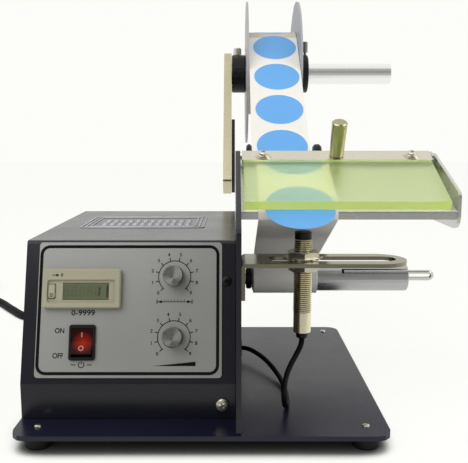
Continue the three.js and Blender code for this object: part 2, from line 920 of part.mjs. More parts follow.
// Involute spur gear outline: its first tooth points along the first axis, turned by phase radians
function gearShape(teeth, boreRadius, phase) {
  const pitchRadius = (gearModule * teeth) / 2;
  const tipRadius = pitchRadius + gearModule;
  const rootRadius = pitchRadius - 1.25 * gearModule;
  const pressure = THREE.MathUtils.degToRad(pressureAngle);
  const baseRadius = pitchRadius * Math.cos(pressure);
  const involute = (angle) => Math.tan(angle) - angle;
  const halfAtPitch = Math.PI / (2 * teeth) - gearPlay / (2 * pitchRadius);
  const halfAt = (radius) =>
    halfAtPitch + involute(pressure) - involute(Math.acos(Math.min(1, baseRadius / radius)));
  const flankStart = Math.max(baseRadius, rootRadius);
  const radii = [0, 1 / 2, 1].map((share) => flankStart + (tipRadius - flankStart) * share);
  const flank = radii.map((radius) => [radius, halfAt(radius)]);
  if (rootRadius < flankStart) flank.unshift([rootRadius, flank[0][1]]);
  const points = [];
  for (let i = 0; i < teeth; i += 1) {
    const middle = phase + (2 * Math.PI * i) / teeth;
    const side = (sign) => ([radius, half]) => {
      const angle = middle + sign * half;
      return new THREE.Vector2(radius * Math.cos(angle), radius * Math.sin(angle));
    };
    points.push(...flank.map(side(-1)), ...flank.toReversed().map(side(1)));
  }
  const shape = new THREE.Shape(points);
  if (boreRadius) shape.holes.push(new THREE.Path().absarc(0, 0, boreRadius, 0, 2 * Math.PI, true));
  return { shape, rootRadius, pitchRadius };
}

// Gear motor on its flange, the pinion on the motor's shaft, and the gear on the take-up shaft
function makeDrive() {
  const flangeRight = gearLeft - motorFlangeGap;
  const flangeLeft = flangeRight - motorFlangeThickness;
  const gearboxLeft = flangeLeft - gearboxLength;
  const half = gearboxSize / 2;
  const square = rectangle(pinionY - half, pinionY + half, takeUpZ - half, takeUpZ + half, gearboxCorner);
  const flange = block(flangeLeft, flangeRight, pinionY - half, pinionY + half, deckZ, takeUpZ + half);
  const foot = block(
    flangeRight - motorFootLength,
    flangeRight,
    pinionY - half,
    pinionY + half,
    deckZ,
    deckZ + motorFlangeThickness,
  );
  const gearbox = alongX(square, gearboxLeft, flangeLeft + weldDepth);
  const can = rodX(motorRadius, pinionY, takeUpZ, gearboxLeft - motorLength, gearboxLeft + weldDepth);
  const shaftEnd = flangeLeft - motorShaftSeat;
  const bore = rodX(motorShaftRadius + slip, pinionY, takeUpZ, shaftEnd - seat, flangeRight + overrun, smallSides);
  piece("gear_motor", cut(join(flange, foot, gearbox, can), bore), steelCore);

  const pinionPhase = Math.PI / pinionTeeth; // a gap faces the gear's tooth
  const pinion = gearShape(pinionTeeth, 0, pinionPhase);
  const pinionSolid = alongX(pinion.shape, gearLeft, gearRight).translate(0, pinionY, takeUpZ);
  const shaft = rodX(motorShaftRadius, pinionY, takeUpZ, shaftEnd, gearRight + seat, smallSides);
  piece("motor_pinion", join(pinionSolid, shaft), steelCore);

  const gear = gearShape(gearTeeth, takeUpShaftRadius + slip, Math.PI);
  const holeOrbit = (gear.rootRadius + takeUpShaftRadius) / 2;
  for (let i = 0; i < gearHoleCount; i += 1) {
    const turn = (2 * Math.PI * (i + 1 / 2)) / gearHoleCount;
    const [a, b] = [holeOrbit * Math.cos(turn), holeOrbit * Math.sin(turn)];
    gear.shape.holes.push(new THREE.Path().absarc(a, b, gearHoleRadius, 0, 2 * Math.PI, true));
  }
  piece("take_up_gear", alongX(gear.shape, gearLeft, gearRight).translate(0, takeUpY, takeUpZ), steelCore);
}

const bearingRight = sideRight + bearingFlange;
const hubLeft = bearingRight + hubGap;
const rollerLeft = hubLeft + hubLength + seat;
const rollerRight = rollerLeft + rollerLength;
const slit = THREE.MathUtils.degToRad(slitTilt);

// Take-up roller with its shaft, bearing and hub, the paper clip in its slit and the wound paper
function makeTakeUp() {
  const shaftLeft = gearLeft - seat;
  const body = turnedX(
    [
      [0, shaftLeft],
      [takeUpShaftRadius, shaftLeft],
      [takeUpShaftRadius, rollerLeft],
      [rollerRadius - rollerChamfer, rollerLeft],
      [rollerRadius, rollerLeft + rollerChamfer],
      [rollerRadius, rollerRight - rollerChamfer],
      [rollerRadius - rollerChamfer, rollerRight],
      [rollerBoreRadius, rollerRight],
      [rollerBoreRadius, rollerRight - rollerBoreDepth],
      [0, rollerRight - rollerBoreDepth],
    ],
    takeUpY,
    takeUpZ,
  );
  const slitTool = block(
    rollerRight - slitLength,
    rollerRight + overrun,
    -rollerRadius - overrun,
    -rollerBoreRadius / 2,
    -slitWidth / 2,
    slitWidth / 2,
  )
    .rotateX(-slit)
    .translate(0, takeUpY, takeUpZ);
  piece("take_up_roller", cut(body, slitTool), satinAluminium);

  const bearing = turnedX(
    [
      [takeUpShaftRadius + slip, -bearingReach],
      [bearingRadius, -bearingReach],
      [bearingRadius, sideRight],
      [bearingFlangeRadius, sideRight],
      [bearingFlangeRadius, bearingRight],
      [takeUpShaftRadius + slip, bearingRight],
    ],
    takeUpY,
    takeUpZ,
  );
  piece("take_up_bearing", bearing, steelCore);
  const hub = ringProfile(takeUpShaftRadius + slip, hubRadius, hubLeft, hubLeft + hubLength, collarChamfer);
  piece("roller_hub", turnedX(hub, takeUpY, takeUpZ), blackPlastic);
  const paper = ringProfile(rollerRadius + slip, rollerRadius + slip + woundPaper, webLeft, webRight);
  piece("wound_backing", turnedX(paper, takeUpY, takeUpZ, largeSides), creamPaper);

  const outerReach = rollerRadius - clipWireRadius;
  const outerLeg = new THREE.Vector2(-outerReach * Math.cos(slit), outerReach * Math.sin(slit));
  const innerLeg = new THREE.Vector2(-clipInnerReach, 0);
  const middle = outerLeg.clone().add(innerLeg).divideScalar(2);
  const half = outerLeg.clone().sub(innerLeg).divideScalar(2);
  const wirePoint = (x, side) =>
    new THREE.Vector3(x, takeUpY + middle.x + side * half.x, takeUpZ + middle.y + side * half.y);
  const bend = [];
  for (let k = 0; k <= 2 * cornerSteps; k += 1) {
    const turn = Math.PI / 2 - (Math.PI * k) / (2 * cornerSteps);
    bend.push(wirePoint(rollerRight + clipProud + half.length() * Math.cos(turn), Math.sin(turn)));
  }
  const wire = [
    wirePoint(rollerRight - slitLength + clipWireRadius + slip, 1),
    wirePoint(rollerRight, 1),
    ...bend,
    wirePoint(rollerRight, -1),
    wirePoint(rollerRight - clipInnerLeg, -1),
  ];
  piece("roller_clip", sweptThrough(wire, clipWireRadius, cableSides), nickel);
}

// Paper path: tangent lines and arcs round circles given as [y, z, radius], where a negative radius
// puts the circle on the path's right
function tangentBetween([y1, z1, r1], [y2, z2, r2]) {
  const span = new THREE.Vector2(y2 - y1, z2 - z1);
  const swing = Math.asin((r2 - r1) / span.length());
  const along = span.clone().normalize().rotateAround(new THREE.Vector2(), -swing);
  const left = new THREE.Vector2(-along.y, along.x);
  const from = new THREE.Vector2(y1, z1).addScaledVector(left, -r1);
  const to = new THREE.Vector2(y2, z2).addScaledVector(left, -r2);
  return { from, to };
}

function paperPath(circles) {
  const lines = circles.slice(1).map((circle, i) => tangentBetween(circles[i], circle));
  const stretches = [[lines[0].from, lines[0].to]];
  circles.slice(1, -1).forEach(([y, z, radius], i) => {
    const middle = new THREE.Vector2(y, z);
    const arrive = lines[i].to.clone().sub(middle);
    const leave = lines[i + 1].from.clone().sub(middle);
    let sweep = leave.angle() - arrive.angle();
    if (radius > 0 && sweep < 0) sweep += 2 * Math.PI;
    if (radius < 0 && sweep > 0) sweep -= 2 * Math.PI;
    const steps = 2 * cornerSteps;
    const arc = Array.from({ length: steps - 1 }, (_, k) =>
      arrive.clone().rotateAround(new THREE.Vector2(), (sweep * (k + 1)) / steps).add(middle),
    );
    stretches.push(arc, [lines[i + 1].from, lines[i + 1].to]);
  });
  return stretches;
}

// Strip of even thickness along a path, as an outline in Y and Z
function ribbon(path, thickness) {
  const sides = [[], []];
  path.forEach((point, i) => {
    const before = path[Math.max(0, i - 1)];
    const after = path[Math.min(path.length - 1, i + 1)];
    const along = after.clone().sub(before).normalize();
    const normal = new THREE.Vector2(-along.y, along.x);
    sides[0].push(point.clone().addScaledVector(normal, thickness / 2));
    sides[1].push(point.clone().addScaledVector(normal, -thickness / 2));
  });
  return new THREE.Shape([...sides[1], ...sides[0].toReversed()]);
}

const bendOuter = tableBend + tableSheet;
const paperLift = seat + webThickness / 2; // from a surface to the paper's middle
const webTop = bendOuter + seat + webThickness; // above the table frame's origin line
const ridge = onTable(tableLength, 0);
const lipY = noseY - bendOuter + tableSheet / 2;
const lipZ = noseZ - tableLip + tableSheet / 2;

// Label web from the roll to the peel edge with the label that sticks out, and the backing paper
function makePaper() {
  const circles = [
    [spindleY, spindleZ, rollRadius + paperLift],
    [guideY, guideZ, -(guideRadius + paperLift)],
    [...ridge, bendOuter + paperLift],
    [noseY, noseZ, bendOuter + paperLift],
    [lipY, lipZ, tableSheet / 2 + paperLift],
    [takeUpY, takeUpZ, -(rollerRadius + slip + woundPaper + paperLift)],
  ];
  const stretches = paperPath(circles);
  const peelArc = 5; // the stretches are line, arc, line, arc, line, and the arc at the peel edge
  const webPath = stretches.slice(0, peelArc).flat().concat(stretches[peelArc].slice(0, cornerSteps));
  const backingPath = stretches.slice(peelArc).flat().slice(cornerSteps);
  const web = alongX(ribbon(webPath, webThickness), webLeft, webRight);
  const labelX = webMiddle + labelShift;
  const label = rodZ(labelRadius, labelX, labelLay, webTop - weldDepth, webTop + webThickness, largeSides);
  label.applyMatrix4(table.matrix);
  piece("label_web", join(web, label), creamPaper);
  piece("backing_web", alongX(ribbon(backingPath, webThickness), webLeft, webRight), greyPaper);
}

// Bent sheet table with a front lip, a back lip and a hinge lug at its right end
function makeTable() {
  const bendMiddle = tableBend + tableSheet / 2;
  const lowFront = new THREE.Vector2(noseY - bendMiddle, noseZ - tableLip);
  const [ridgeY, ridgeZ] = ridge;
  const lowBack = new THREE.Vector2(ridgeY + bendMiddle, ridgeZ - tableBackLip);
  const arc = (y, z, from, to) =>
    Array.from({ length: 2 * cornerSteps + 1 }, (_, k) => {
      const turn = from + ((to - from) * k) / (2 * cornerSteps);
      return new THREE.Vector2(y + bendMiddle * Math.cos(turn), z + bendMiddle * Math.sin(turn));
    });
  const path = [
    lowBack,
    ...arc(ridgeY, ridgeZ, 0, Math.PI / 2 + slope),
    ...arc(noseY, noseZ, Math.PI / 2 + slope, Math.PI),
    lowFront,
  ];
  const sheet = alongX(ribbon(path, tableSheet), sideRight, tableRight);
  const lugRight = tableRight - lugInset;
  const lug = block(
    lugRight - lugThickness,
    lugRight,
    coverRodUp - lugLength / 2,
    coverRodUp + lugLength / 2,
    bendOuter - weldDepth,
    lugHeight,
  ).applyMatrix4(table.matrix);
  const [rodY, rodHeight] = coverRodAt();
  const holeLeft = lugRight - lugThickness - overrun;
  const hole = rodX(coverRodRadius + slip, rodY, rodHeight, holeLeft, tableRight + overrun, smallSides);
  piece("peel_table", cut(join(sheet, lug), hole), stainless);
}

// The cover tips up about a rod through the clamp bar's keel
const acrylicBase = webTop + acrylicLift;
const barFront = acrylicLength + seat;
const barBack = barFront + barDepth;
const barTop = acrylicBase + tongueThickness + seat + barThickness;
const keelBase = barTop - barKeel;
const coverRodUp = barBack - coverRodSetback;
const coverRodOff = keelBase + coverRodLift;

function coverRodAt() {
  return onTable(coverRodUp, coverRodOff);
}

function makeCover() {
  const slab = alongX(
    outline([
      [-acrylicOverhang, acrylicBase],
      [acrylicLength, acrylicBase],
      [acrylicLength, acrylicBase + acrylicThickness],
      [-acrylicOverhang, acrylicBase + acrylicThickness],
    ]),
    acrylicInset,
    acrylicRight,
    acrylicBevel,
  );
  const tongue = block(
    acrylicInset,
    acrylicRight,
    acrylicLength - acrylicBevel - weldDepth,
    acrylicLength + tongueLength,
    acrylicBase,
    acrylicBase + tongueThickness,
  );
  piece("acrylic_cover", join(slab, tongue), paleAcrylic, table);

  const keelFront = acrylicLength + tongueLength + seat;
  const bar = alongX(
    outline([
      [barFront, barTop - barThickness],
      [keelFront, barTop - barThickness],
      [keelFront, keelBase],
      [barBack - barChamfer, keelBase],
      [barBack, keelBase + barChamfer],
      [barBack, barTop],
      [barFront, barTop],
    ]),
    barInset,
    barRight,
  );
  const bore = rodX(coverRodRadius + slip, coverRodUp, coverRodOff, -overrun, barRight + overrun, smallSides);
  piece("clamp_bar", cut(bar, bore), nickel, table);

  const pinBase = barTop + seat;
  const pin = turned([
    [0, pinBase],
    [liftPinRadius, pinBase],
    [liftPinTopRadius, pinBase + liftPinLength - liftPinChamfer],
    [liftPinTopRadius - liftPinChamfer, pinBase + liftPinLength],
    [0, pinBase + liftPinLength],
  ]);
  piece("lift_pin", pin, nickel, table).position.set((barInset + barRight) / 2, (barFront + barBack) / 2, 0);

  const [rodY, rodHeight] = coverRodAt();
  const rodRight = tableRight - lugInset;
  piece("cover_rod", rodX(coverRodRadius, rodY, rodHeight, seat, rodRight, smallSides), stainless);
}

// Thin upright plate that closes the table's right end
function makeCheek() {
  const left = tableRight + seat;
  const shape = outline(
    [
      [cheekFront, cheekBottom],
      [cheekBack, cheekBottom],
      [cheekBack, cheekBackTop],
      [cheekFront, cheekFrontTop],
    ],
    [cheekCorner, cheekCorner, cheekCorner / 2, cheekCorner / 2],
  );
  piece("end_cheek", alongX(shape, left, left + cheekThickness), stainless);
}

// Guide rod with two collars that keep the web on its line
function makeGuide() {
  const profile = [
    [0, seat],
    [guideStubRadius, seat],
    [guideStubRadius, sideRight],
    [guideRadius, sideRight],
    [guideRadius, sideRight + guideLength],
    [0, sideRight + guideLength],
  ];
  piece("guide_rod", turnedX(profile, guideY, guideZ), satinAluminium);
  const bore = guideRadius + slip;
  const leftEnd = webLeft - webMargin;
  const rightStart = webRight + webMargin;
  const collars = {
    guide_collar_left: [leftEnd - leftCollarLength, leftEnd],
    guide_collar_right: [rightStart, rightStart + rightCollarLength],
  };
  for (const [name, [x0, x1]] of Object.entries(collars)) {
    const ring = ringProfile(bore, guideCollarRadius, x0, x1, guideCollarChamfer);
    piece(name, turnedX(ring, guideY, guideZ), blackPlastic);
  }
}

// Flat bar along the arm's line, from start to end along it, as an outline in Y and Z
const armLine = new THREE.Vector2(spindleY - armFootY, spindleZ - armFootZ);
const armLength = armLine.length();
const armAngle = armLine.angle();

function armStrip(start, end, width, radius) {
  const foot = new THREE.Vector2(armFootY, armFootZ);
  const corners = [
    [start, -width / 2],
    [end, -width / 2],
    [end, width / 2],
    [start, width / 2],
  ].map(([along, across]) => {
    const point = new THREE.Vector2(along, across).rotateAround(new THREE.Vector2(), armAngle).add(foot);
    return [point.x, point.y];
  });
  return outline(corners, radius);
}

// Supply arm, its spacer and the spindle
function makeArm() {
  const strip = alongX(armStrip(-armFootEnd, armLength + armHeadEnd, armWidth, armCorner), armLeft, armRight);
  const hole = rodX(spindleRadius + slip, spindleY, spindleZ, armLeft - overrun, armRight + overrun);
  piece("support_arm", cut(strip, hole), nickel);
  const spacerRight = armRight + seat + spacerThickness;
  const spacer = alongX(armStrip(-spacerFootEnd, spacerLength, spacerWidth, 0), armRight + seat, spacerRight);
  piece("arm_spacer", spacer, blackPlastic);
  const tubeLeft = armLeft + seat;
  const tube = ringProfile(spindleBore, spindleRadius, tubeLeft, tubeLeft + spindleLength, rollerChamfer);
  piece("spindle_tube", turnedX(tube, spindleY, spindleZ), satinAluminium);
}

// Clamp collar and disc on the spindle, and the collar's thumb screw
function makeFlange(side, collar, discX, screw) {
  const [collarX, collarRadius, collarLength] = collar;
  const [screwX, screwRadius, standoff, headRadius, headHeight] = screw;
  const bore = spindleRadius + slip;
  const ring = ringProfile(bore, collarRadius, collarX, collarX + collarLength, collarChamfer);
  const holeTop = spindleZ + collarRadius + overrun;
  const screwHole = rodZ(screwRadius + slip, screwX, spindleY, spindleZ, holeTop, smallSides);
  piece(`${side}_collar`, cut(turnedX(ring, spindleY, spindleZ), screwHole), blackPlastic);
  const disc = ringProfile(bore, discRadius, discX, discX + discThickness);
  piece(`${side}_disc`, turnedX(disc, spindleY, spindleZ, largeSides), greyDisc);
  const headBase = collarRadius + standoff;
  const thumbScrew = turned(
    [
      [0, bore],
      [screwRadius, bore],
      [screwRadius, headBase],
      [headRadius, headBase],
      [headRadius, headBase + headHeight - headRadius / 4],
      [headRadius - headRadius / 4, headBase + headHeight],
      [0, headBase + headHeight],
    ],
    smallSides,
  );
  piece(`${side}_thumb_screw`, thumbScrew.translate(screwX, spindleY, spindleZ), nickel);
}

// Roll of labels on its core
function makeRoll() {
  const bore = spindleRadius + slip;
  const coreRadius = bore + coreWall;
  const profile = [
    [bore, webLeft - coreProud],
    [coreRadius, webLeft - coreProud],
    [coreRadius, webLeft],
    [rollRadius, webLeft],
    [rollRadius, webRight],
    [coreRadius, webRight],
    [coreRadius, webRight + coreProud],
    [bore, webRight + coreProud],
  ];
  piece("label_roll", turnedX(profile, spindleY, spindleZ, largeSides), creamPaper);
}

// Slotted angle bracket on the side plate
function makeBracket() {
  const left = sideRight;
  const right = left + bracketLength;
  const back = bracketY + bracketDepth / 2;
  const front = bracketY - bracketDepth / 2;
  const angle = new THREE.Shape();
  angle.moveTo(left, bracketTop - bracketDrop);
  angle.lineTo(left + bracketThickness, bracketTop - bracketDrop);
  angle.lineTo(left + bracketThickness, bracketTop - bracketThickness);
  angle.lineTo(right, bracketTop - bracketThickness);
  angle.lineTo(right, bracketTop);
  angle.lineTo(left + bracketBend, bracketTop);
  angle.absarc(left + bracketBend, bracketTop - bracketBend, bracketBend, Math.PI / 2, Math.PI, false);
  const folded = alongZ(angle, -back, -front).rotateX(Math.PI / 2);
  const plan = slotOutline(left - 2 * bracketDepth, right, bracketY, bracketDepth / 2);
  const roundEnd = alongZ(plan, 0, bracketTop + overrun);
  const slotStart = left + bracketSlotStart;
  const slot = alongZ(
    slotOutline(slotStart, slotStart + bracketSlotLength, bracketY, bracketSlot / 2),
    bracketTop - bracketThickness - overrun,
    bracketTop + overrun,
  );
  piece("sensor_bracket", cut(common(folded, roundEnd), slot), darkNickel);
}

// Threaded sensor standing in the slot between two nuts with washers
function makeSensor() {
  const threadStart = sensorBottom + sensorThreadStart;
  const capBase = sensorTop - sensorCapHeight;
  const plain = sensorRadius - sensorThreadRelief;
  const profile = [
    [0, sensorBottom - sensorBootLength],
    [sensorBootRadius, sensorBottom - sensorBootLength],
    [sensorBootRadius, sensorBottom],
    [plain, sensorBottom],
    [plain, threadStart],
    [sensorRadius, threadStart],
    [sensorRadius, capBase],
    [sensorCapRadius, capBase],
    [sensorCapRadius, sensorTop],
    [0, sensorTop],
  ];
  piece("label_sensor", turned(profile).translate(sensorX, sensorY, 0), nickel);
  const reach = nutFlats / Math.sqrt(3);
  const corners = Array.from({ length: 6 }, (_, i) => {
    const turn = (Math.PI * (i + 1 / 2)) / 3; // a corner faces the front
    return [reach * Math.cos(turn), reach * Math.sin(turn)];
  });
  const top = washerThickness + nutHeight;
  const wide = reach + slip;
  const chamferDrop = (wide - nutFaceRadius) * Math.tan(THREE.MathUtils.degToRad(nutChamferAngle));
  const nut = () => {
    const blank = turned([
      [0, 0],
      [wide, 0],
      [wide, top - chamferDrop],
      [nutFaceRadius, top],
      [0, top],
    ]);
    const hexagon = common(alongZ(outline(corners), 0, top), blank);
    const washer = turned(ringProfile(0, washerRadius, 0, washerThickness));
    const hole = rodZ(sensorRadius + slip, 0, 0, -overrun, top + overrun);
    return cut(join(hexagon, washer), hole);
  };
  const above = bracketTop + seat;
  const below = bracketTop - bracketThickness - seat;
  piece("sensor_nut_upper", nut().translate(sensorX, sensorY, above), nickel);
  piece("sensor_nut_lower", nut().rotateX(Math.PI).translate(sensorX, sensorY, below), nickel);
}

// Sensor cable: down from the sensor, a loop on the base plate, and back into the side plate's grommet
const cableRoute = [
  [43.5, 61, 51.3],
  [43.5, 61, 49.4],
  [42.6, 60.4, 46],
  [39.7, 58.2, 40.9],
  [36.1, 54.3, 35.9],
  [33.3, 49.3, 31.8],
  [31.8, 44.6, 29.1],
  [31, 40.2, 28.1],
  [30.2, 35.2, 26],
  [30.1, 33.1, 21],
  [31, 35.2, 16],
  [32.3, 40.2, 13.9],
  [33.1, 50, 13.9],
  [33.2, 60, 13.9],
  [32.9, 69.8, 14.1],
  [31.5, 81.5, 15],
  [29.1, 91, 16.3],
  [25.9, 100.1, 18],
  [20.9, 112.6, 19.4],
  [15.2, 123.3, 20.2],
  [10.6, 130.5, 20.3],
  [8.3, 133, 20.1],
  [5.6, 134.5, 20],
  [3.2, 134.9, 20],
  [1.2, 134.9, 20],
];

function makeSensorCable() {
  const points = cableRoute.map((point) => new THREE.Vector3(...point));
  piece("sensor_cable", sweptThrough(points, cableRadius, cableSides), rubber);
  const bore = cableRadius + slip;
  const leftLip = -seat - grommetLip;
  const rightLip = sideRight + grommetLip;
  const profile = [
    [bore, leftLip],
    [grommetFlange, leftLip],
    [grommetFlange, -seat],
    [grommetHole - slip, -seat],
    [grommetHole - slip, sideRight],
    [grommetFlange, sideRight],
    [grommetFlange, rightLip],
    [bore, rightLip],
  ];
  piece("cable_grommet", turnedX(profile, grommetY, grommetZ, smallSides), rubber);
}

// Mains cord: strain relief, the stretch on the table, the stored coil with its tie, and the plug
const reliefFace = rearPanelBack + seat;
const coilZ = tieThickness + 2 * seat + cordRadius;
const coilOuter = coilInner + coilTurns * coilPitch;
const cordRoute = [
  [-95, 243, 32],
  [-95, 252, 31.4],
  [-95.6, 264, 28.4],
  [-98.8, 277, 22.4],
  [-106, 288.5, 14.8],
  [-118, 296, 8.4],
  [-133, 297.5, 4.6],
  [-149, 292, 3.6],
  [-165, 284, 3.6],
  [-181, 278, 3.6],
  [-197, 277, 3.6],
  [-211, 283, 3.6],
  [-220, 292, 3.6],
  [-230, 305, 3.6],
  [-240, 318, 3.6],
  [-249.5, 331, 3.7],
  [-263.3, 348.3, 4],
  [-276.6, 364.6, 4.4],
  [-281.8, 371.4, 4.7],
  [-285.3, 377.6, 4.9],
  [-286.3, 383.4, 4.9],
  [-286.3, 388.6, 4.9],
];

function makeCord() {
  const relief = [
    [0, -rearPanelThickness - 2 * seat],
    [reliefNeck, -rearPanelThickness - 2 * seat],
    [reliefNeck, 0],
    [reliefFlange, 0],
    [reliefFlange, reliefFlangeThickness],
  ];
  for (let i = 0; i < reliefRibs; i += 1) {
    const at = (share) => {
      const along = (i + share) / reliefRibs;
      const radius = reliefRootRadius + (reliefTipRadius - reliefRootRadius) * along;
      return [radius, reliefFlangeThickness + reliefLength * along];
    };
    const [outer, h0] = at(0);
    const [, h1] = at(2 / 3);
    const [inner, h2] = at(1);
    relief.push([outer, h0], [outer, h1], [inner - reliefRibDepth, h1], [inner - reliefRibDepth, h2]);
  }
  relief.push([0, reliefFlangeThickness + reliefLength]);
  const turnedRelief = turned(relief, smallSides).rotateX(-Math.PI / 2);
  piece("cord_strain_relief", turnedRelief.translate(cordExitX, reliefFace, cordExitZ), rubber);

  const curve = new THREE.CatmullRomCurve3(cordRoute.map((point) => new THREE.Vector3(...point)));
  piece("power_cord", swept(curve, cordRadius, cordSides, cordSteps), rubber);
}

// Stored coil: in along the lower layer, up one layer in half a turn, and out along the upper one
function coilPoints() {
  const halfTurns = coilTurns * 2 * Math.PI;
  const climb = Math.PI / 2; // each side of where the spiral turns back
  const steps = Math.round(2 * coilTurns * coilStepsPerTurn);
  const points = [];
  for (let k = tailSteps; k > 0; k -= 1) {
    points.push(new THREE.Vector3(coilX + coilOuter, coilY - (coilTail * k) / tailSteps, coilZ));
  }
  for (let i = 0; i <= steps; i += 1) {
    const turn = (2 * halfTurns * i) / steps;
    const past = turn - halfTurns;
    const radius = coilInner + (coilPitch * Math.abs(past)) / (2 * Math.PI);
    const lift = THREE.MathUtils.clamp((past + climb) / (2 * climb), 0, 1);
    const x = coilX + radius * Math.cos(turn);
    const y = coilY + radius * Math.sin(turn);
    points.push(new THREE.Vector3(x, y, coilZ + coilPitch * lift));
  }
  const { x, y, z } = points.at(-1);
  for (let k = 1; k <= tailSteps; k += 1) points.push(new THREE.Vector3(x, y - (plugTail * k) / tailSteps, z));
  return points;
}

// Least distance between stretches of the coil that are more than half a turn apart
function leastGap(points) {
  let least = Infinity;
  points.forEach((point, i) => {
    for (let j = i + coilStepsPerTurn / 2; j < points.length; j += 1) {
      least = Math.min(least, point.distanceTo(points[j]));
    }
  });
  return least - 2 * cordRadius;
}

function makeCoil() {
  const points = coilPoints();
  console.log(`least gap of the coil to itself ${leastGap(points).toFixed(2)} mm`);
  piece("power_cord_coil", sweptThrough(points, cordRadius, coilSides), rubber);

  const turn = THREE.MathUtils.degToRad(tieAngle);
  const round = turn / (2 * Math.PI);
  const inward = Math.floor(coilTurns - round);
  const low = coilOuter - coilPitch * (round + inward) - cordRadius;
  const high = coilOuter + cordRadius;
  const bandShape = (grow) =>
    rectangle(
      low - tieSlack - grow,
      high + tieSlack + grow,
      coilZ - cordRadius - seat - grow,
      coilZ + coilPitch + cordRadius + seat + grow,
      tieCorner + grow,
    );
  const band = bandShape(tieThickness);
  band.holes.push(new THREE.Path(bandShape(0).getPoints().toReversed()));
  const radial = new THREE.Vector3(Math.cos(turn), Math.sin(turn), 0);
  const up = new THREE.Vector3(0, 0, 1);
  const frame = new THREE.Matrix4().makeBasis(radial, up, radial.clone().cross(up));
  const tie = alongZ(band, -tieWidth / 2, tieWidth / 2).applyMatrix4(frame);
  piece("cord_tie", tie.translate(coilX, coilY, 0), blackPlastic);
}

// Moulded mains plug with two blades and an earth pin, at the coil's upper end
function makePlug() {
  const axisX = coilX - coilOuter;
  const axisZ = coilZ + coilPitch;
  const back = coilY - plugTail + plugBore;
  const front = back - plugLength;
  const plan = outline(
    [
      [axisX - plugWidth / 2, front],
      [axisX + plugWidth / 2, front],
      [axisX + plugWidth / 2, (front + back) / 2],
      [axisX + plugNeck / 2, back],
      [axisX - plugNeck / 2, back],
      [axisX - plugWidth / 2, (front + back) / 2],
    ],
    plugCorner,
  );
  const body = alongZ(plan, axisZ - plugHeight / 2, axisZ + plugHeight / 2, plugBevel);
  const blades = [-1, 1].map((side) => {
    const x = axisX + (side * bladeSpacing) / 2;
    return block(
      x - bladeThickness / 2,
      x + bladeThickness / 2,
      front - bladeLength,
      front + plugBevel + weldDepth,
      axisZ + bladeLift - bladeWidth / 2,
      axisZ + bladeLift + bladeWidth / 2,
    );
  });
  const earth = rodZ(earthPinRadius, 0, 0, -plugBevel - weldDepth, bladeLength, smallSides)
    .rotateX(Math.PI / 2)
    .translate(axisX, front, axisZ - earthPinDrop);
  const bore = rodZ(cordRadius + slip, 0, 0, -overrun, plugBore + seat, smallSides)
    .rotateX(Math.PI / 2)
    .translate(axisX, back, axisZ);
  piece("power_plug", cut(join(body, ...blades, earth), bore), blackPlastic);
}

// Circuit board on its posts, and the mains transformer
function makeElectrics() {
  const left = housingLeft + housingWall + boardLeftGap;
  const front = housingSetback + boardFrontGap;
  const back = housingRear - boardRearGap;
  const bottom = deckZ + boardStandoff;
  const top = bottom + boardThickness;
  const board = block(left, left + boardWidth, front, back, bottom, top);
  const inset = boardStandoffInset;
  const posts = [
    [left + inset, front + inset],
    [left + boardWidth - inset, front + inset],
    [left + inset, back - inset],
    [left + boardWidth - inset, back - inset],
  ].map(([x, y]) => rodZ(boardStandoffRadius, x, y, deckZ, bottom + weldDepth, smallSides));
  const parts = boardPartShares.map(([x0, x1, y0, y1, height]) =>
    block(
      left + x0 * boardWidth,
      left + x1 * boardWidth,
      front + y0 * (back - front),
      front + y1 * (back - front),
      top - weldDepth,
      top + height * boardPartHeight,
    ),
  );
  piece("control_board", join(board, ...posts, ...parts), boardGreen);

  const coreLeft = housingLeft + housingWall + transformerLeftGap;
  const coreRight = coreLeft + coreWidth;
  const middleY = rearPanelBack - rearPanelThickness - transformerBackGap;
  const footTop = deckZ + transformerFoot;
  const core = block(
    coreLeft,
    coreRight,
    middleY - coreDepth / 2,
    middleY + coreDepth / 2,
    footTop - weldDepth,
    footTop + coreHeight,
  );
  const bobbin = block(
    coreLeft + bobbinInset,
    coreRight - bobbinInset,
    middleY - bobbinDepth / 2,
    middleY + bobbinDepth / 2,
    footTop + bobbinInset,
    footTop + coreHeight - bobbinInset,
  );
  const foot = block(
    coreLeft - transformerFootReach,
    coreRight + transformerFootReach,
    middleY - coreDepth / 2,
    middleY + coreDepth / 2,
    deckZ,
    footTop,
  );
  piece("transformer", join(core, bobbin, foot), steelCore);
}

makeBase();
makeHousing();
makeRearPanel();
makeSidePlate();
makeControlPlate();
makeCounter();
makeSwitch();
makeDial("length_knob", "length_potentiometer", lengthKnobRise, lengthKnobAngle);
makeDial("speed_knob", "speed_potentiometer", speedKnobRise, speedKnobAngle);
makeDrive();
makeTakeUp();
makePaper();
makeTable();
makeCover();
makeCheek();
makeGuide();
makeArm();
makeFlange("inner", [innerCollarLeft, innerCollarRadius, innerCollarLength], innerDiscLeft, [
  innerScrewX,
  innerScrewRadius,
  innerScrewStandoff,
  innerScrewHead,
  innerScrewHeadHeight,
]);
makeFlange("outer", [outerCollarLeft, outerCollarRadius, outerCollarLength], outerDiscLeft, [
  outerScrewX,
  outerScrewRadius,
  outerScrewStandoff,
  outerScrewHead,
  outerScrewHeadHeight,
]);
makeRoll();
makeBracket();
makeSensor();
makeSensorCable();
makeCord();
makeCoil();
makePlug();
makeElectrics();

// Origin on the table under the middle of the machine, its cord left out
const spindleRight = armLeft + seat + spindleLength;
const discBack = spindleY + discRadius;
machine.position.set(-(baseLeft + spindleRight) / 2, -discBack / 2, 0);

export default machine;
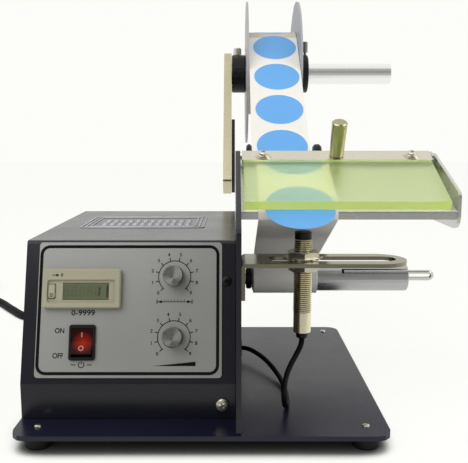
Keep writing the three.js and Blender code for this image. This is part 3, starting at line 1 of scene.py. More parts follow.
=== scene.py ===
# %% [markdown]
# # A bench label dispenser
#
# A motor in the painted housing winds up a strip of paper. The strip carries round labels from the reel behind
# the machine, down a sloping table and round its sharp front edge. The labels are too stiff to turn there, so
# each one comes loose and sticks out for the hand. A sensor on a slotted bracket sees it and stops the motor.
#
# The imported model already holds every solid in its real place. This lesson adds what the eye needs: finishes,
# flexible cords, the paper and the small parts that are too fine for the model.

import json
import math

import bmesh
import bpy
from mathutils import Matrix, Vector
from mathutils.bvhtree import BVHTree


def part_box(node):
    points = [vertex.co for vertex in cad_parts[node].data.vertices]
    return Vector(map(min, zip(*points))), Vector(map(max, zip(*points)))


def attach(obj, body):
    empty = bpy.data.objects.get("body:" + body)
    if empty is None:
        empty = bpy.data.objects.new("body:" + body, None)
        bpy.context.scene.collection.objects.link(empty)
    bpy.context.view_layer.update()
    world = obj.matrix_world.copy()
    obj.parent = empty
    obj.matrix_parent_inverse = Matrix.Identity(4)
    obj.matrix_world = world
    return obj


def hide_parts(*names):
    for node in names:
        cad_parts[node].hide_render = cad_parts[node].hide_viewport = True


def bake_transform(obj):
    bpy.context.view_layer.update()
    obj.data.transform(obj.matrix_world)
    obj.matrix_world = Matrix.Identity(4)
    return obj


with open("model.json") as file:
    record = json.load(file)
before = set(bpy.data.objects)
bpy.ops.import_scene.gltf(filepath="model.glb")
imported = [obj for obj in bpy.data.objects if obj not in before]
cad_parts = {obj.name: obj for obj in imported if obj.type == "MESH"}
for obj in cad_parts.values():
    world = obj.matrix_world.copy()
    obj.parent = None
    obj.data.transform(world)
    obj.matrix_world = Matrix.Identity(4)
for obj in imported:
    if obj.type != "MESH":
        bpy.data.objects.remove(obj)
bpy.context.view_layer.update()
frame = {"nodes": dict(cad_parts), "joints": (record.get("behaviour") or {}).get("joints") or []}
MM = 0.001
ACROSS = Vector((1, 0, 0))
UP = Vector((0, 0, 1))

# %% [markdown]
# The drawing of the machine counts X from the side plate's left face and Y from the base plate's front edge.
# Reading those two faces from the model lets the rest of the script use the drawing's millimetres. Two parts
# lean, so each gets a frame of its own: the control face and the peel table. Upright things share a third.

# %% Frames to place things in
DRAWING_ZERO = Vector((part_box("side_plate")[0].x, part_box("base_plate")[0].y, 0))


def place(x, y, z):
    """A point of the drawing, in millimetres, as a place in the scene."""
    return DRAWING_ZERO + Vector((x, y, z)) * MM


def local_frame(origin, across, up):
    """A matrix whose x runs across, y up the surface and z out of it."""
    out = across.cross(up).normalized()
    return Matrix.Translation(origin) @ Matrix((across, up, out)).transposed().to_4x4()


joints = {joint["name"]: joint for joint in frame["joints"]}
out_of_face = Vector(joints["length_dial_turn"]["axis"])
HOUSING_FRONT, FACE_FOOT = 23.7, 34.3
face = local_frame(place(0, HOUSING_FRONT, FACE_FOOT), ACROSS, out_of_face.cross(ACROSS))
upright = Matrix.Translation(DRAWING_ZERO)

TABLE_SLOPE = math.radians(27)
NOSE_Y, NOSE_Z = 52.8, 135.4
up_table = Vector((0, math.cos(TABLE_SLOPE), math.sin(TABLE_SLOPE)))
table = local_frame(place(0, NOSE_Y, NOSE_Z), ACROSS, up_table)


def within(frame_matrix, x, y, z):
    """A point given in millimetres inside a local frame, as a place in the scene."""
    return frame_matrix @ (Vector((x, y, z)) * MM)


def shifted(frame_matrix, x=0, y=0, z=0, turn=0):
    """A local frame moved by millimetres and turned by degrees about its own z."""
    return frame_matrix @ Matrix.Translation(Vector((x, y, z)) * MM) @ Matrix.Rotation(math.radians(turn), 4, "Z")


print("control face leans back", round(math.degrees(math.asin(out_of_face.z)), 1), "degrees")

# %% [markdown]
# The camera comes first. A product photographer stands a little above the table top and looks slightly down.
# The lens is a normal 50 mm one, and the place was found from the base plate's edges and the counter's size.

# %% Camera
CAMERA_LENS = 50
SENSOR_WIDTH = 36
CAMERA_PITCH = 8.36
CAMERA_SPOT = (-1.2, -353.1, 183.2)


def new_object(name, data):
    """An object in the scene for a mesh, curve, lamp or camera."""
    made = bpy.data.objects.new(name, data)
    bpy.context.scene.collection.objects.link(made)
    return made


bpy.context.scene.view_settings.view_transform = "Standard"
camera_data = bpy.data.cameras.new("product_camera")
camera_data.lens = CAMERA_LENS
camera_data.sensor_width = SENSOR_WIDTH
camera_data.clip_start = 0.01
camera_data.clip_end = 50
camera = new_object("product_camera", camera_data)
camera.location = place(*CAMERA_SPOT)
camera.rotation_euler = (math.radians(90 - CAMERA_PITCH), 0, 0)
bpy.context.scene.camera = camera
print("camera at", [round(value, 3) for value in camera.location])

# %% [markdown]
# Colours are written as the sRGB hex values that one reads from a picture. Blender's shaders want linear light,
# so one function turns them. A second function adds any shader node, sets its sockets and links its inputs.

# %% Colour and node helpers


def linear(hex_colour):
    """An sRGB hex colour as linear RGBA."""
    channels = [int(hex_colour[i : i + 2], 16) / 255 for i in (1, 3, 5)]
    return [c / 12.92 if c <= 0.04045 else ((c + 0.055) / 1.055) ** 2.4 for c in channels] + [1.0]


def node(tree, kind, sockets=None, **settings):
    """Adds a shader node. A socket's value is a number, a colour or another node's output."""
    made = tree.nodes.new("ShaderNode" + kind)
    for name, value in settings.items():
        setattr(made, name, value)
    for name, value in (sockets or {}).items():
        if isinstance(value, bpy.types.NodeSocket):
            tree.links.new(value, made.inputs[name])
        else:
            made.inputs[name].default_value = value
    return made


def new_finish(name, colour, roughness, metallic=0.0, **more):
    """A material with its constant values on the shader's own sockets. Returns material, tree and shader."""
    material = bpy.data.materials.new(name)
    material.use_nodes = True
    shader = material.node_tree.nodes["Principled BSDF"]
    sockets = {"Base Color": linear(colour), "Roughness": roughness, "Metallic": metallic}
    sockets.update({key.replace("_", " "): value for key, value in more.items()})
    for socket, value in sockets.items():
        shader.inputs[socket].default_value = value
    return material, material.node_tree, shader


def per_mm(feature):
    """The texture scale that gives features of that many millimetres."""
    return 1 / (feature * MM)


# %% [markdown]
# Most surfaces need the same three things: a fine relief, a roughness that is not quite even, and a colour that
# drifts a little. One function builds them from real sizes in millimetres. Its stretch is how much longer the
# relief is along each axis, which turns round grains into the lines that rolling, turning or brushing leave.
# Roughness follows two noises multiplied, and nearly all of that product lies between the two grain levels. A
# second function makes a whole finish this way, and most materials below are one call of it. Turned and wound
# things need two more, because their pattern depends on the distance from an axis alone.

# %% Surface relief
GRAIN_LOW, GRAIN_HIGH = 0.1, 0.42


def add_relief(tree, shader, feature, height, stretch=(1, 1, 1), roughness=None, drift=None, drift_size=30):
    """Relief with features and heights in mm, a roughness range, and a drift between two hex colours."""
    where = node(tree, "TexCoord").outputs["Object"]
    squeeze = [1 / s for s in stretch]
    fine_where = node(tree, "Mapping", {"Vector": where, "Scale": squeeze}).outputs["Vector"]
    fine = node(tree, "TexNoise", {"Vector": fine_where, "Scale": per_mm(feature), "Detail": 3.0}).outputs["Fac"]
    bump = node(tree, "Bump", {"Height": fine, "Distance": height * MM, "Strength": 1.0})
    tree.links.new(bump.outputs["Normal"], shader.inputs["Normal"])
    wide = node(tree, "TexNoise", {"Vector": where, "Scale": per_mm(drift_size), "Detail": 4.0}).outputs["Fac"]
    if roughness:
        both = node(tree, "Math", {0: fine, 1: wide}, operation="MULTIPLY").outputs[0]
        sockets = {"Value": both, "From Min": GRAIN_LOW, "From Max": GRAIN_HIGH}
        uneven = node(tree, "MapRange", {**sockets, "To Min": roughness[0], "To Max": roughness[1]}).outputs[0]
        tree.links.new(uneven, shader.inputs["Roughness"])
    if drift:
        low, high = (linear(colour) for colour in drift)
        mixed = node(tree, "Mix", {0: wide, 6: low, 7: high}, data_type="RGBA")
        tree.links.new(mixed.outputs[2], shader.inputs["Base Color"])
    return where


def grained(name, colour, roughness, grain, spread, drift=None, metallic=0.0, stretch=(1, 1, 1), size=30, **more):
    """A finish with relief. Grain is its feature and height, spread its roughness range, size the drift's."""
    material, tree, shader = new_finish(name, colour, roughness, metallic, **more)
    add_relief(tree, shader, *grain, stretch, spread, drift, size)
    return material


def axis_distance(tree, middle, axis):
    """Each point's distance in metres from an axis through a place in the scene."""
    where = node(tree, "TexCoord").outputs["Object"]
    centred = node(tree, "VectorMath", {0: where, 1: middle}, operation="SUBTRACT").outputs[0]
    sideways = node(tree, "VectorMath", {0: centred, 1: axis}, operation="CROSS_PRODUCT").outputs[0]
    return node(tree, "VectorMath", {0: sideways}, operation="LENGTH").outputs["Value"]


def ring_noise(tree, middle, axis, spacing, detail):
    """Noise in rings round an axis, with that many millimetres from ring to ring."""
    reach = axis_distance(tree, middle, axis)
    count = node(tree, "Math", {0: reach, 1: per_mm(spacing)}, operation="MULTIPLY").outputs[0]
    return node(tree, "TexNoise", {"W": count, "Scale": 1.0, "Detail": detail}, noise_dimensions="1D").outputs["Fac"]


print("helpers ready; 0.5 mm grains need a texture scale of", per_mm(0.5))

# %% [markdown]
# Painted sheet steel: powder coat is sprayed dry and melted in an oven. It flows into a soft orange peel about
# a millimetre across. Pigment and resin give it a dielectric's IOR of 1.5, and the semi-gloss grade a roughness
# near 0.26, so the dark navy top turns pale where the eye meets it at a shallow angle.

# %% Powder coat
powder_coat = grained(
    "powder_coat_dark_navy", "#14151f", 0.26, (0.9, 0.007), (0.23, 0.29), ("#11121b", "#171823"),
    IOR=1.52, Specular_IOR_Level=0.38
)
base_coat = grained(
    "powder_coat_dark_navy_base_plate", "#16172a", 0.28, (0.9, 0.014), (0.26, 0.36), ("#141526", "#191a2e"),
    IOR=1.5, Specular_IOR_Level=0.34
)

# %% [markdown]
# The pressed beads and louvres on the housing's top catch light along their edges. That light is painted: they
# get a pale, matt powder coat, so the pattern shows as light lines.

# %% Powder coat with painted highlight
painted_highlight_coat = grained(
    "powder_coat_painted_highlight", "#c4c4ca", 0.5, (0.9, 0.012), (0.44, 0.58), ("#b0b0b7", "#d4d4da"), size=12, IOR=1.52
)

# %% [markdown]
# Anodised aluminium comes in two finishes here. The control plate is sheet, blasted with fine grit first, so it
# scatters light evenly. The take-up roller is turned on a lathe, and a fine groove runs round it. The real
# groove is near 0.1 mm and can't show at this size, so it is drawn at half a millimetre.

# %% Anodised aluminium
plate_aluminium = grained(
    "anodised_aluminium_sheet", "#a3a3a0", 0.44, (0.4, 0.01), (0.38, 0.5), ("#9f9f9c", "#a8a8a5"), 0.75, size=60
)
turned_aluminium = grained(
    "anodised_aluminium_turned", "#b4b4b5", 0.3, (0.5, 0.0008), (0.26, 0.34), ("#b0b0b1", "#b9b9b9"), 0.9, (1, 30, 30)
)

# %% [markdown]
# The two knobs were turned and faced on a lathe, so their grooves are rings round the axis. Such a face shows light
# from above and below as two bright fans, with dark fans at its sides. The grooves are near 0.1 mm, far finer
# than a pixel, so the shader's anisotropy spreads the reflection across them, and a tangent that runs round
# the axis tells it which way they go. Rings a third of a millimetre apart, in tone and roughness, break it up.

# %% Spun knob faces
GROOVE = 0.34
spun_knobs = {}
for dial in ("length", "speed"):
    spun_knobs[dial], tree, shader = new_finish(
        f"anodised_aluminium_spun_{dial}", "#94948f", 0.3, 1.0, Anisotropic=0.9
    )
    round_axis = node(tree, "Tangent", direction_type="RADIAL", axis="Y").outputs["Tangent"]
    tree.links.new(round_axis, shader.inputs["Tangent"])
    grooves = ring_noise(tree, Vector(joints[f"{dial}_dial_turn"]["pos_m"]), out_of_face, GROOVE, 2.0)
    sockets = {"Value": grooves, "From Min": 0.2, "From Max": 0.8, "To Min": 0.24, "To Max": 0.36}
    tree.links.new(node(tree, "MapRange", sockets).outputs[0], shader.inputs["Roughness"])
    tone = node(tree, "Mix", {0: grooves, 6: linear("#7c7c7a"), 7: linear("#9b9b98")}, data_type="RGBA").outputs[2]
    tree.links.new(tone, shader.inputs["Base Color"])
print("grooves drawn", GROOVE, "mm apart")

# %% [markdown]
# Nickel plate on mild steel is warmer than chrome, almost straw-coloured. The bars were ground along their
# length before plating, and the plating follows those lines. The arm's plate is warmer, the bracket's older and
# darker. Stainless sheet keeps the mill's long rolling lines and a cooler grey. The spindle and the guide rod
# are polished aluminium tube, and what is inside the housing is plain machined steel.

# %% Plated and stainless steel
nickel_plate = grained(
    "nickel_plated_steel", "#d6d2c2", 0.24, (0.35, 0.005), (0.18, 0.32), ("#d0cbb9", "#dcd8c9"), 1.0, (25, 1, 1)
)
arm_plate = grained(
    "nickel_plated_steel_arm", "#c6bd9f", 0.3, (0.35, 0.006), (0.24, 0.38), ("#bdb495", "#cec5a9"), 1.0, (1, 25, 25)
)
dark_nickel = grained(
    "dark_nickel_plated_steel", "#8b8771", 0.28, (0.35, 0.006), (0.22, 0.36), ("#807c67", "#96917a"), 1.0, (25, 1, 1)
)
pin_plate = grained(
    "nickel_plated_steel_pin", "#a9a67e", 0.22, (0.35, 0.003), (0.18, 0.28), ("#a09d75", "#b3b088"), 1.0, (1, 1, 25)
)
stainless = grained(
    "stainless_steel_sheet_rolled", "#cdcdc8", 0.26, (0.3, 0.005), (0.2, 0.34), ("#c6c6c1", "#d4d4d1"),
    1.0, (40, 1, 1)
)
polished_aluminium = grained(
    "aluminium_polished_tube", "#f2f2f2", 0.18, (0.5, 0.0006), (0.14, 0.22), ("#efefef", "#f5f5f5"), 1.0, (1, 30, 30)
)
machined_steel = grained(
    "machined_steel", "#7c7c7e", 0.35, (0.5, 0.008), (0.3, 0.45), ("#727274", "#868688"), 1.0, (1, 20, 20)
)

# %% [markdown]
# The plastics are moulded ABS and nylon with the fine spark-eroded texture of their moulds, grains of about
# 0.3 mm, drawn at 0.5 mm. The flexible PVC of the cords is smoother but dull, and the feet are rubber. All are
# dielectrics near IOR 1.53. The circuit board inside the housing is green glass fibre.

# %% Moulded plastics and rubber
black_abs = grained(
    "abs_black_moulded", "#0e0e10", 0.42, (0.5, 0.012), (0.36, 0.5), ("#0c0c0e", "#121214"),
    IOR=1.53, Specular_IOR_Level=0.25
)
cord_pvc = grained(
    "pvc_black_extruded", "#070708", 0.6, (0.6, 0.01), (0.52, 0.66), ("#060607", "#0a0a0b"),
    IOR=1.53, Specular_IOR_Level=0.1
)
foot_rubber = grained(
    "rubber_black_moulded", "#0f0f10", 0.62, (0.6, 0.02), (0.55, 0.72), ("#0d0d0e", "#131314"),
    IOR=1.52, Specular_IOR_Level=0.3
)
beige_abs = grained("abs_beige_moulded", "#a29e87", 0.45, (0.5, 0.01), (0.38, 0.52), ("#9d9982", "#a7a38c"), IOR=1.53)
grey_nylon = grained(
    "nylon_grey_moulded", "#8b8c8e", 0.5, (0.5, 0.012), (0.44, 0.58), ("#858688", "#919294"), IOR=1.53
)
disc_pvc = grained(
    "pvc_light_grey_sheet", "#b0b0b4", 0.4, (0.8, 0.006), (0.34, 0.48), ("#ababaf", "#b5b5b9"), IOR=1.53
)
board_resin = grained(
    "glass_fibre_board_green", "#2c6a43", 0.5, (0.6, 0.02), (0.4, 0.6), ("#27603c", "#33734b"), IOR=1.55
)

# %% [markdown]
# The cover is cast acrylic dyed with a fluorescent yellow-green. Light that enters its big faces is trapped
# inside, travels sideways and leaves at the sawn edges, which is why they glow. The faces scatter a little, so
# the paper below looks blurred. Acrylic's IOR is 1.49. The glow is a weak emission, stronger wherever the
# surface faces along the table, to the front, left or right. There the colour is also painted a deeper
# yellow-green, as painted light from that glow.

# %% Fluorescent acrylic
FACE_DYE, EDGE_GLOW_TINT, EDGE_LIGHT = "#f2f8dc", "#dfec9c", "#b6d42c"
EDGE_GLOW, FACE_GLOW = 0.2, 0.045
acrylic, tree, shader = new_finish(
    "acrylic_fluorescent_cast", FACE_DYE, 0.31, IOR=1.49, Transmission_Weight=0.95, Coat_Weight=0.25,
    Coat_Roughness=0.08, Emission_Color=linear(EDGE_LIGHT)
)
add_relief(tree, shader, 14, 0.0, roughness=(0.27, 0.36))
outward = node(tree, "TexCoord").outputs["Normal"]
up_face = node(tree, "VectorMath", {0: outward, 1: table.to_3x3() @ UP}, operation="DOT_PRODUCT").outputs["Value"]
flatness = node(tree, "Math", {0: up_face}, operation="ABSOLUTE").outputs[0]
sockets = {"Value": flatness, "From Min": 0.5, "From Max": 0.8}
glow = node(tree, "MapRange", {**sockets, "To Min": EDGE_GLOW, "To Max": FACE_GLOW}).outputs[0]
tree.links.new(glow, shader.inputs["Emission Strength"])
# The edges get a deeper yellow-green than the faces: painted light from their glow.
onto_face = node(tree, "MapRange", sockets).outputs[0]
dye_and_edge_glow = node(tree, "Mix", {0: onto_face, 6: linear(EDGE_GLOW_TINT), 7: linear(FACE_DYE)}, data_type="RGBA").outputs[2]
tree.links.new(dye_and_edge_glow, shader.inputs["Base Color"])

# %% [markdown]
# The paper is glassine, pressed so smooth that glue doesn't hold on it, with a warm white tone. Its bare back
# is in shade and reads grey. The labels are coated paper printed in one flat blue, with a slight gloss.

# %% Papers
backing_paper = grained(
    "glassine_backing_paper", "#fdf9f2", 0.42, (0.7, 0.006), (0.36, 0.5), ("#fbf7ef", "#fefbf6"), IOR=1.5
)
bare_backing = grained(
    "glassine_backing_paper_bare", "#eceae5", 0.45, (0.7, 0.006), (0.4, 0.55), ("#e8e5e0", "#f1eeea"), IOR=1.5
)
label_paper = grained(
    "coated_label_paper_blue", "#68b2f6", 0.35, (0.7, 0.004), (0.3, 0.42), ("#65aff4", "#6cb6f8"), IOR=1.5
)
core_board = grained(
    "wound_cardboard_core", "#b49a73", 0.75, (1.2, 0.05), (0.7, 0.85), ("#aa9069", "#bfa57e"), IOR=1.5
)

# %% [markdown]
# The display is a liquid crystal behind a clear window: an olive grey panel with a hard gloss over it, so the
# shader gets a clear coat. The rocker is red polycarbonate with a small lamp inside, brightest in the middle.

# %% Display and lit rocker
display = grained(
    "liquid_crystal_display", "#555c3b", 0.4, (3, 0.0), (0.36, 0.46), ("#4f5637", "#5c6341"), size=14,
    IOR=1.52, Coat_Weight=0.6, Coat_Roughness=0.05
)
segment_ink = grained(
    "liquid_crystal_segment", "#12140c", 0.4, (3, 0.0), (0.36, 0.46), ("#101209", "#16180f"), size=14, IOR=1.52
)
ghost_ink = grained(
    "liquid_crystal_segment_off", "#505737", 0.4, (3, 0.0), (0.36, 0.46), ("#4b5234", "#555c3b"), size=14, IOR=1.52
)

LAMP_SPOT = (-93.0, 24.6, 4.0)
LAMP_REACH, LAMP_GLOW = 7, 0.3
rocker_lens, tree, shader = new_finish(
    "polycarbonate_red_lit", "#1c0201", 0.5, IOR=1.58, Specular_IOR_Level=0.08, Emission_Color=linear("#ff3a16")
)
where = add_relief(tree, shader, 2.5, 0.03, roughness=(0.45, 0.56), drift=("#150201", "#2c0503"), drift_size=6)
lamp = within(face, *LAMP_SPOT)
distance = node(tree, "VectorMath", {0: where, 1: lamp}, operation="DISTANCE").outputs["Value"]
sockets = {"Value": distance, "From Min": 0.0, "From Max": LAMP_REACH * MM, "To Min": LAMP_GLOW, "To Max": 0.0}
tree.links.new(node(tree, "MapRange", sockets).outputs[0], shader.inputs["Emission Strength"])
print("the rocker's lamp reaches", LAMP_REACH, "mm")

# %% [markdown]
# Print and paint: screen-printed ink on the control plate is matt and stands about 0.02 mm proud. It is drawn
# at 0.1 mm so that it doesn't sink into the plate. The rocker's marks were white. Worn, and lit through the red
# lens, they read as a dull pink.

# %% Inks
black_ink = grained(
    "screen_print_ink_black", "#060607", 0.7, (0.5, 0.003), (0.65, 0.8), ("#070708", "#0d0d0e"),
    IOR=1.45, Specular_IOR_Level=0.15
)
white_ink = grained("moulded_mark_white", "#b87769", 0.5, (0.5, 0.003), (0.45, 0.6), ("#b06f61", "#c08072"), IOR=1.5)
print(len(bpy.data.materials), "finishes so far")

# %% Give every solid its finish
finishes = {
    powder_coat: "housing_cover rear_panel side_plate",
    base_coat: "base_plate",
    foot_rubber: "foot_front_left foot_front_right foot_back_left foot_back_right cable_grommet cord_strain_relief",
    plate_aluminium: "control_plate",
    beige_abs: "counter_case reset_button",
    display: "counter_window",
    black_abs: "switch_frame roller_hub arm_spacer inner_collar outer_collar guide_collar_left guide_collar_right "
    "cord_tie power_plug",
    rocker_lens: "switch_rocker",
    turned_aluminium: "take_up_roller",
    polished_aluminium: "spindle_tube guide_rod",
    spun_knobs["length"]: "length_knob",
    spun_knobs["speed"]: "speed_knob",
    grey_nylon: "length_potentiometer speed_potentiometer",
    machined_steel: "gear_motor motor_pinion take_up_gear take_up_bearing transformer outer_thumb_screw",
    board_resin: "control_board",
    nickel_plate: "inner_thumb_screw clamp_bar label_sensor sensor_nut_upper sensor_nut_lower",
    pin_plate: "lift_pin",
    arm_plate: "support_arm",
    dark_nickel: "sensor_bracket",
    stainless: "peel_table cover_rod end_cheek roller_clip",
    acrylic: "acrylic_cover",
    disc_pvc: "inner_disc outer_disc",
    backing_paper: "wound_backing label_roll label_web",
    bare_backing: "backing_web",
    cord_pvc: "power_cord power_cord_coil sensor_cable",
}
for material, names in finishes.items():
    for name in names.split():
        solid = frame["nodes"][name]
        solid.data.materials.clear()
        solid.data.materials.append(material)
finished = sum(len(names.split()) for names in finishes.values())
print(finished, "of", len(frame["nodes"]), "solids have their finish")

# %% [markdown]
# The studio: a wide pale floor, one big soft lamp above and to the left, a weaker one to the right, and a pale
# room. The floor and the room count as white for the camera, for reflections and for glass. A part of the
# floor's brightness comes from real light, so that the machine's shadow stays. Under the base plate hardly any
# light gets in, so an ambient occlusion node finds covered places and turns the floor's own brightness off
# there. Behind the camera the photographer's room is dark, and so is the floor in front of the machine. Only
# reflections see that, and it keeps dark paint dark.

# %% Floor, room and lamps
FLOOR_HALF = 4.0
FLOOR_GLOW = 1.06
GLOW_SHARE = 0.82
ROOM_LIGHT = 0.5
DARK_ROOM = 0.32
DARK_FLOOR = 0.45
COVER_REACH = 0.035
FLOOR_DARK_FROM, FLOOR_DARK_TO = -0.5, -0.1
ROOM_DARK_FROM, ROOM_DARK_TO = -0.85, -0.2
COVERED, OPEN = 0.35, 0.75
LAMP_AIM = (0, 0, 0.12)

floor_finish, tree, shader = new_finish("studio_floor_white", "#f4f4f1", 0.8)
rays = node(tree, "LightPath").outputs
seen = node(tree, "Math", {0: rays["Is Camera Ray"], 1: rays["Is Transmission Ray"]}, operation="ADD").outputs[0]
seen = node(tree, "Math", {0: rays["Is Glossy Ray"], 1: seen}, operation="ADD").outputs[0]
share = node(tree, "Math", {0: seen, 1: GLOW_SHARE}, operation="MULTIPLY").outputs[0]
depth = node(tree, "SeparateXYZ", {0: node(tree, "NewGeometry").outputs["Position"]}).outputs["Y"]
sockets = {"Value": depth, "From Min": FLOOR_DARK_FROM, "From Max": FLOOR_DARK_TO}
sockets.update({"To Min": FLOOR_GLOW - DARK_FLOOR, "To Max": 0.0})
darkened = node(tree, "MapRange", sockets, interpolation_type="SMOOTHSTEP").outputs[0]
darkened = node(tree, "Math", {0: darkened, 1: rays["Is Glossy Ray"]}, operation="MULTIPLY").outputs[0]
bright = node(tree, "Math", {0: FLOOR_GLOW, 1: darkened}, operation="SUBTRACT").outputs[0]
open_above = node(tree, "AmbientOcclusion", {"Distance": COVER_REACH}, samples=16).outputs["AO"]
sockets = {"Value": open_above, "From Min": COVERED, "From Max": OPEN}
uncovered = node(tree, "MapRange", sockets, interpolation_type="SMOOTHSTEP").outputs[0]
bright = node(tree, "Math", {0: bright, 1: uncovered}, operation="MULTIPLY").outputs[0]
white_light = node(tree, "Emission", {"Color": linear("#fffffb"), "Strength": bright}).outputs[0]
blend = node(tree, "MixShader", {0: share, 1: shader.outputs[0], 2: white_light})
tree.links.new(blend.outputs[0], tree.nodes["Material Output"].inputs["Surface"])

floor_mesh = bpy.data.meshes.new("studio_floor")
corners = [(x * FLOOR_HALF, y * FLOOR_HALF, 0) for x, y in ((-1, -1), (1, -1), (1, 1), (-1, 1))]
floor_mesh.from_pydata(corners, [], [(0, 1, 2, 3)])
floor_mesh.materials.append(floor_finish)
floor = new_object("studio_floor", floor_mesh)

world = bpy.data.worlds.new("studio_room")
world.use_nodes = True
bpy.context.scene.world = world
tree = world.node_tree
rays = node(tree, "LightPath").outputs
seen = node(tree, "Math", {0: rays["Is Camera Ray"], 1: rays["Is Transmission Ray"]}, operation="ADD").outputs[0]
plain = node(tree, "Math", {0: seen, 1: 1 - ROOM_LIGHT, 2: ROOM_LIGHT}, operation="MULTIPLY_ADD").outputs[0]
direction = node(tree, "TexCoord").outputs["Generated"]
backwards = node(tree, "SeparateXYZ", {0: direction}).outputs["Y"]
sockets = {"Value": backwards, "From Min": ROOM_DARK_FROM, "From Max": ROOM_DARK_TO}
sockets.update({"To Min": DARK_ROOM, "To Max": 1.0})
mirrored = node(tree, "MapRange", sockets, interpolation_type="SMOOTHSTEP").outputs[0]
mirrored = node(tree, "Math", {0: mirrored, 1: ROOM_LIGHT}, operation="SUBTRACT").outputs[0]
strength = node(tree, "Math", {0: rays["Is Glossy Ray"], 1: mirrored, 2: plain}, operation="MULTIPLY_ADD").outputs[0]
background = tree.nodes["Background"]
background.inputs["Color"].default_value = linear("#fdfdf9")
tree.links.new(strength, background.inputs["Strength"])


def soft_lamp(name, spot, size, watts):
    """A square area lamp at a scene place in metres, aimed at the machine."""
    data = bpy.data.lights.new(name, "AREA")
    data.size = size
    data.energy = watts
    made = new_object(name, data)
    made.location = spot
    made.rotation_euler = (Vector(LAMP_AIM) - Vector(spot)).to_track_quat("-Z", "Y").to_euler()


soft_lamp("lamp_key", (-0.7, -0.9, 1.3), size=1.4, watts=11)
soft_lamp("lamp_fill", (1.1, -0.6, 0.8), size=0.9, watts=5)
print("studio ready")

# %% [markdown]
# ## Mesh helpers
#
# Sheet parts start as a flat outline that is pushed up into a plate, and round parts as a profile that is
# turned about an axis. Both then get sharp edges marked, so that only the round sides are shaded smooth.

# %% Build and place a mesh


def add_mesh(name, mesh, finish, body):
    """Puts a mesh in the scene with one finish, on one body."""
    made = new_object(name, mesh)
    mesh.materials.append(finish)
    mesh.shade_smooth()
    mesh.set_sharp_from_angle(angle=math.radians(32))
    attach(made, body)
    return made


def to_mesh(shape, name, matrix=None):
    """Turns a bmesh into a mesh, moved by a matrix if there is one."""
    if matrix is not None:
        bmesh.ops.transform(shape, matrix=matrix, verts=shape.verts)
    bmesh.ops.recalc_face_normals(shape, faces=shape.faces)
    mesh = bpy.data.meshes.new(name)
    shape.to_mesh(mesh)
    shape.free()
    return mesh


def add_piece(name, shape, frame_matrix, finish, body):
    """Puts a bmesh, drawn in millimetres inside a local frame, in the scene."""
    return add_mesh(name, to_mesh(shape, name, frame_matrix @ Matrix.Scale(MM, 4)), finish, body)


def rounded(width, height, radius, x=0, y=0, steps=6):
    """A rectangle with round corners, as points in millimetres, round a middle."""
    points = []
    for corner in range(4):
        start = corner * math.pi / 2
        middle_x = x + (width / 2 - radius) * (1 if corner in (0, 3) else -1)
        middle_y = y + (height / 2 - radius) * (1 if corner in (0, 1) else -1)
        for step in range(steps + 1):
            turn = start + math.pi / 2 * step / steps
            points.append((middle_x + radius * math.cos(turn), middle_y + radius * math.sin(turn)))
    return points


def circle(radius, x=0, y=0, sides=48):
    """A circle as points in millimetres, or its middle alone if it has no radius."""
    turns = [2 * math.pi * side / sides for side in range(sides if radius else 1)]
    return [(x + radius * math.cos(turn), y + radius * math.sin(turn)) for turn in turns]


def add_skin(shape, rings):
    """Adds the faces between neighbours in a list of closed rings. A ring may be a single corner."""
    for low, high in zip(rings, rings[1:]):
        count = max(len(low), len(high))
        for i in range(count):
            j = (i + 1) % count
            corners = [low[i % len(low)], low[j % len(low)], high[j % len(high)], high[i % len(high)]]
            shape.faces.new(list(dict.fromkeys(corners)))


def add_plate(shape, outer, low, high, inner=None):
    """Adds an outline pushed up from low to high to a bmesh. An inner outline of as many points makes a ring."""
    rings = [[shape.verts.new((x, y, z)) for x, y in outer] for z in (low, high)]
    if inner is None:
        shape.faces.new(rings[0])
        shape.faces.new(rings[1])
    else:
        rings += [[shape.verts.new((x, y, z)) for x, y in inner] for z in (high, low)]
        rings.append(rings[0])
    add_skin(shape, rings)


def add_turned(shape, profile, sides=48):
    """Adds a profile of radius and height in millimetres, turned about z, to a bmesh."""
    add_skin(shape, [[shape.verts.new((x, y, z)) for x, y in circle(radius, sides=sides)] for radius, z in profile])


def turned_piece(name, profile, sides, frame_matrix, finish, body):
    """Puts a piece of one turned profile in the scene."""
    shape = bmesh.new()
    add_turned(shape, profile, sides)
    return add_piece(name, shape, frame_matrix, finish, body)


def soften(piece, width, segments=2):
    """Rounds a piece's edges by that many millimetres."""
    bevel = piece.modifiers.new("soft_edges", "BEVEL")
    bevel.width = width * MM
    bevel.segments = segments
    bevel.limit_method = "ANGLE"
    bevel.angle_limit = math.radians(40)
    return piece


# %% [markdown]
# ## Cords
#
# A route is a short list of given points. A Catmull-Rom curve runs through all of them, and spacing
# its knots by the square root of the distance keeps it from looping. The curve is then walked in short steps.

# %% Smooth routes


def smooth_route(points, steps=8):
    """Points on a centripetal Catmull-Rom curve through the given points."""
    points = [Vector(point) for point in points]
    ends = [2 * points[0] - points[1], *points, 2 * points[-1] - points[-2]]
    route = []
    for p0, p1, p2, p3 in zip(ends, ends[1:], ends[2:], ends[3:]):
        knots = [0.0]
        for a, b in ((p0, p1), (p1, p2), (p2, p3)):
            knots.append(knots[-1] + max((b - a).length, 1e-6) ** 0.5)
        for step in range(steps):
            t = knots[1] + (knots[2] - knots[1]) * step / steps
            a1 = p0.lerp(p1, (t - knots[0]) / (knots[1] - knots[0]))
            a2 = p1.lerp(p2, (t - knots[1]) / (knots[2] - knots[1]))
            a3 = p2.lerp(p3, (t - knots[2]) / (knots[3] - knots[2]))
            b1 = a1.lerp(a2, (t - knots[0]) / (knots[2] - knots[0]))
            b2 = a2.lerp(a3, (t - knots[1]) / (knots[3] - knots[1]))
            route.append(b1.lerp(b2, (t - knots[1]) / (knots[2] - knots[1])))
    return route + [points[-1]]


def route_length(route):
    """The length of a route in the scene's units."""
    return sum((b - a).length for a, b in zip(route, route[1:]))


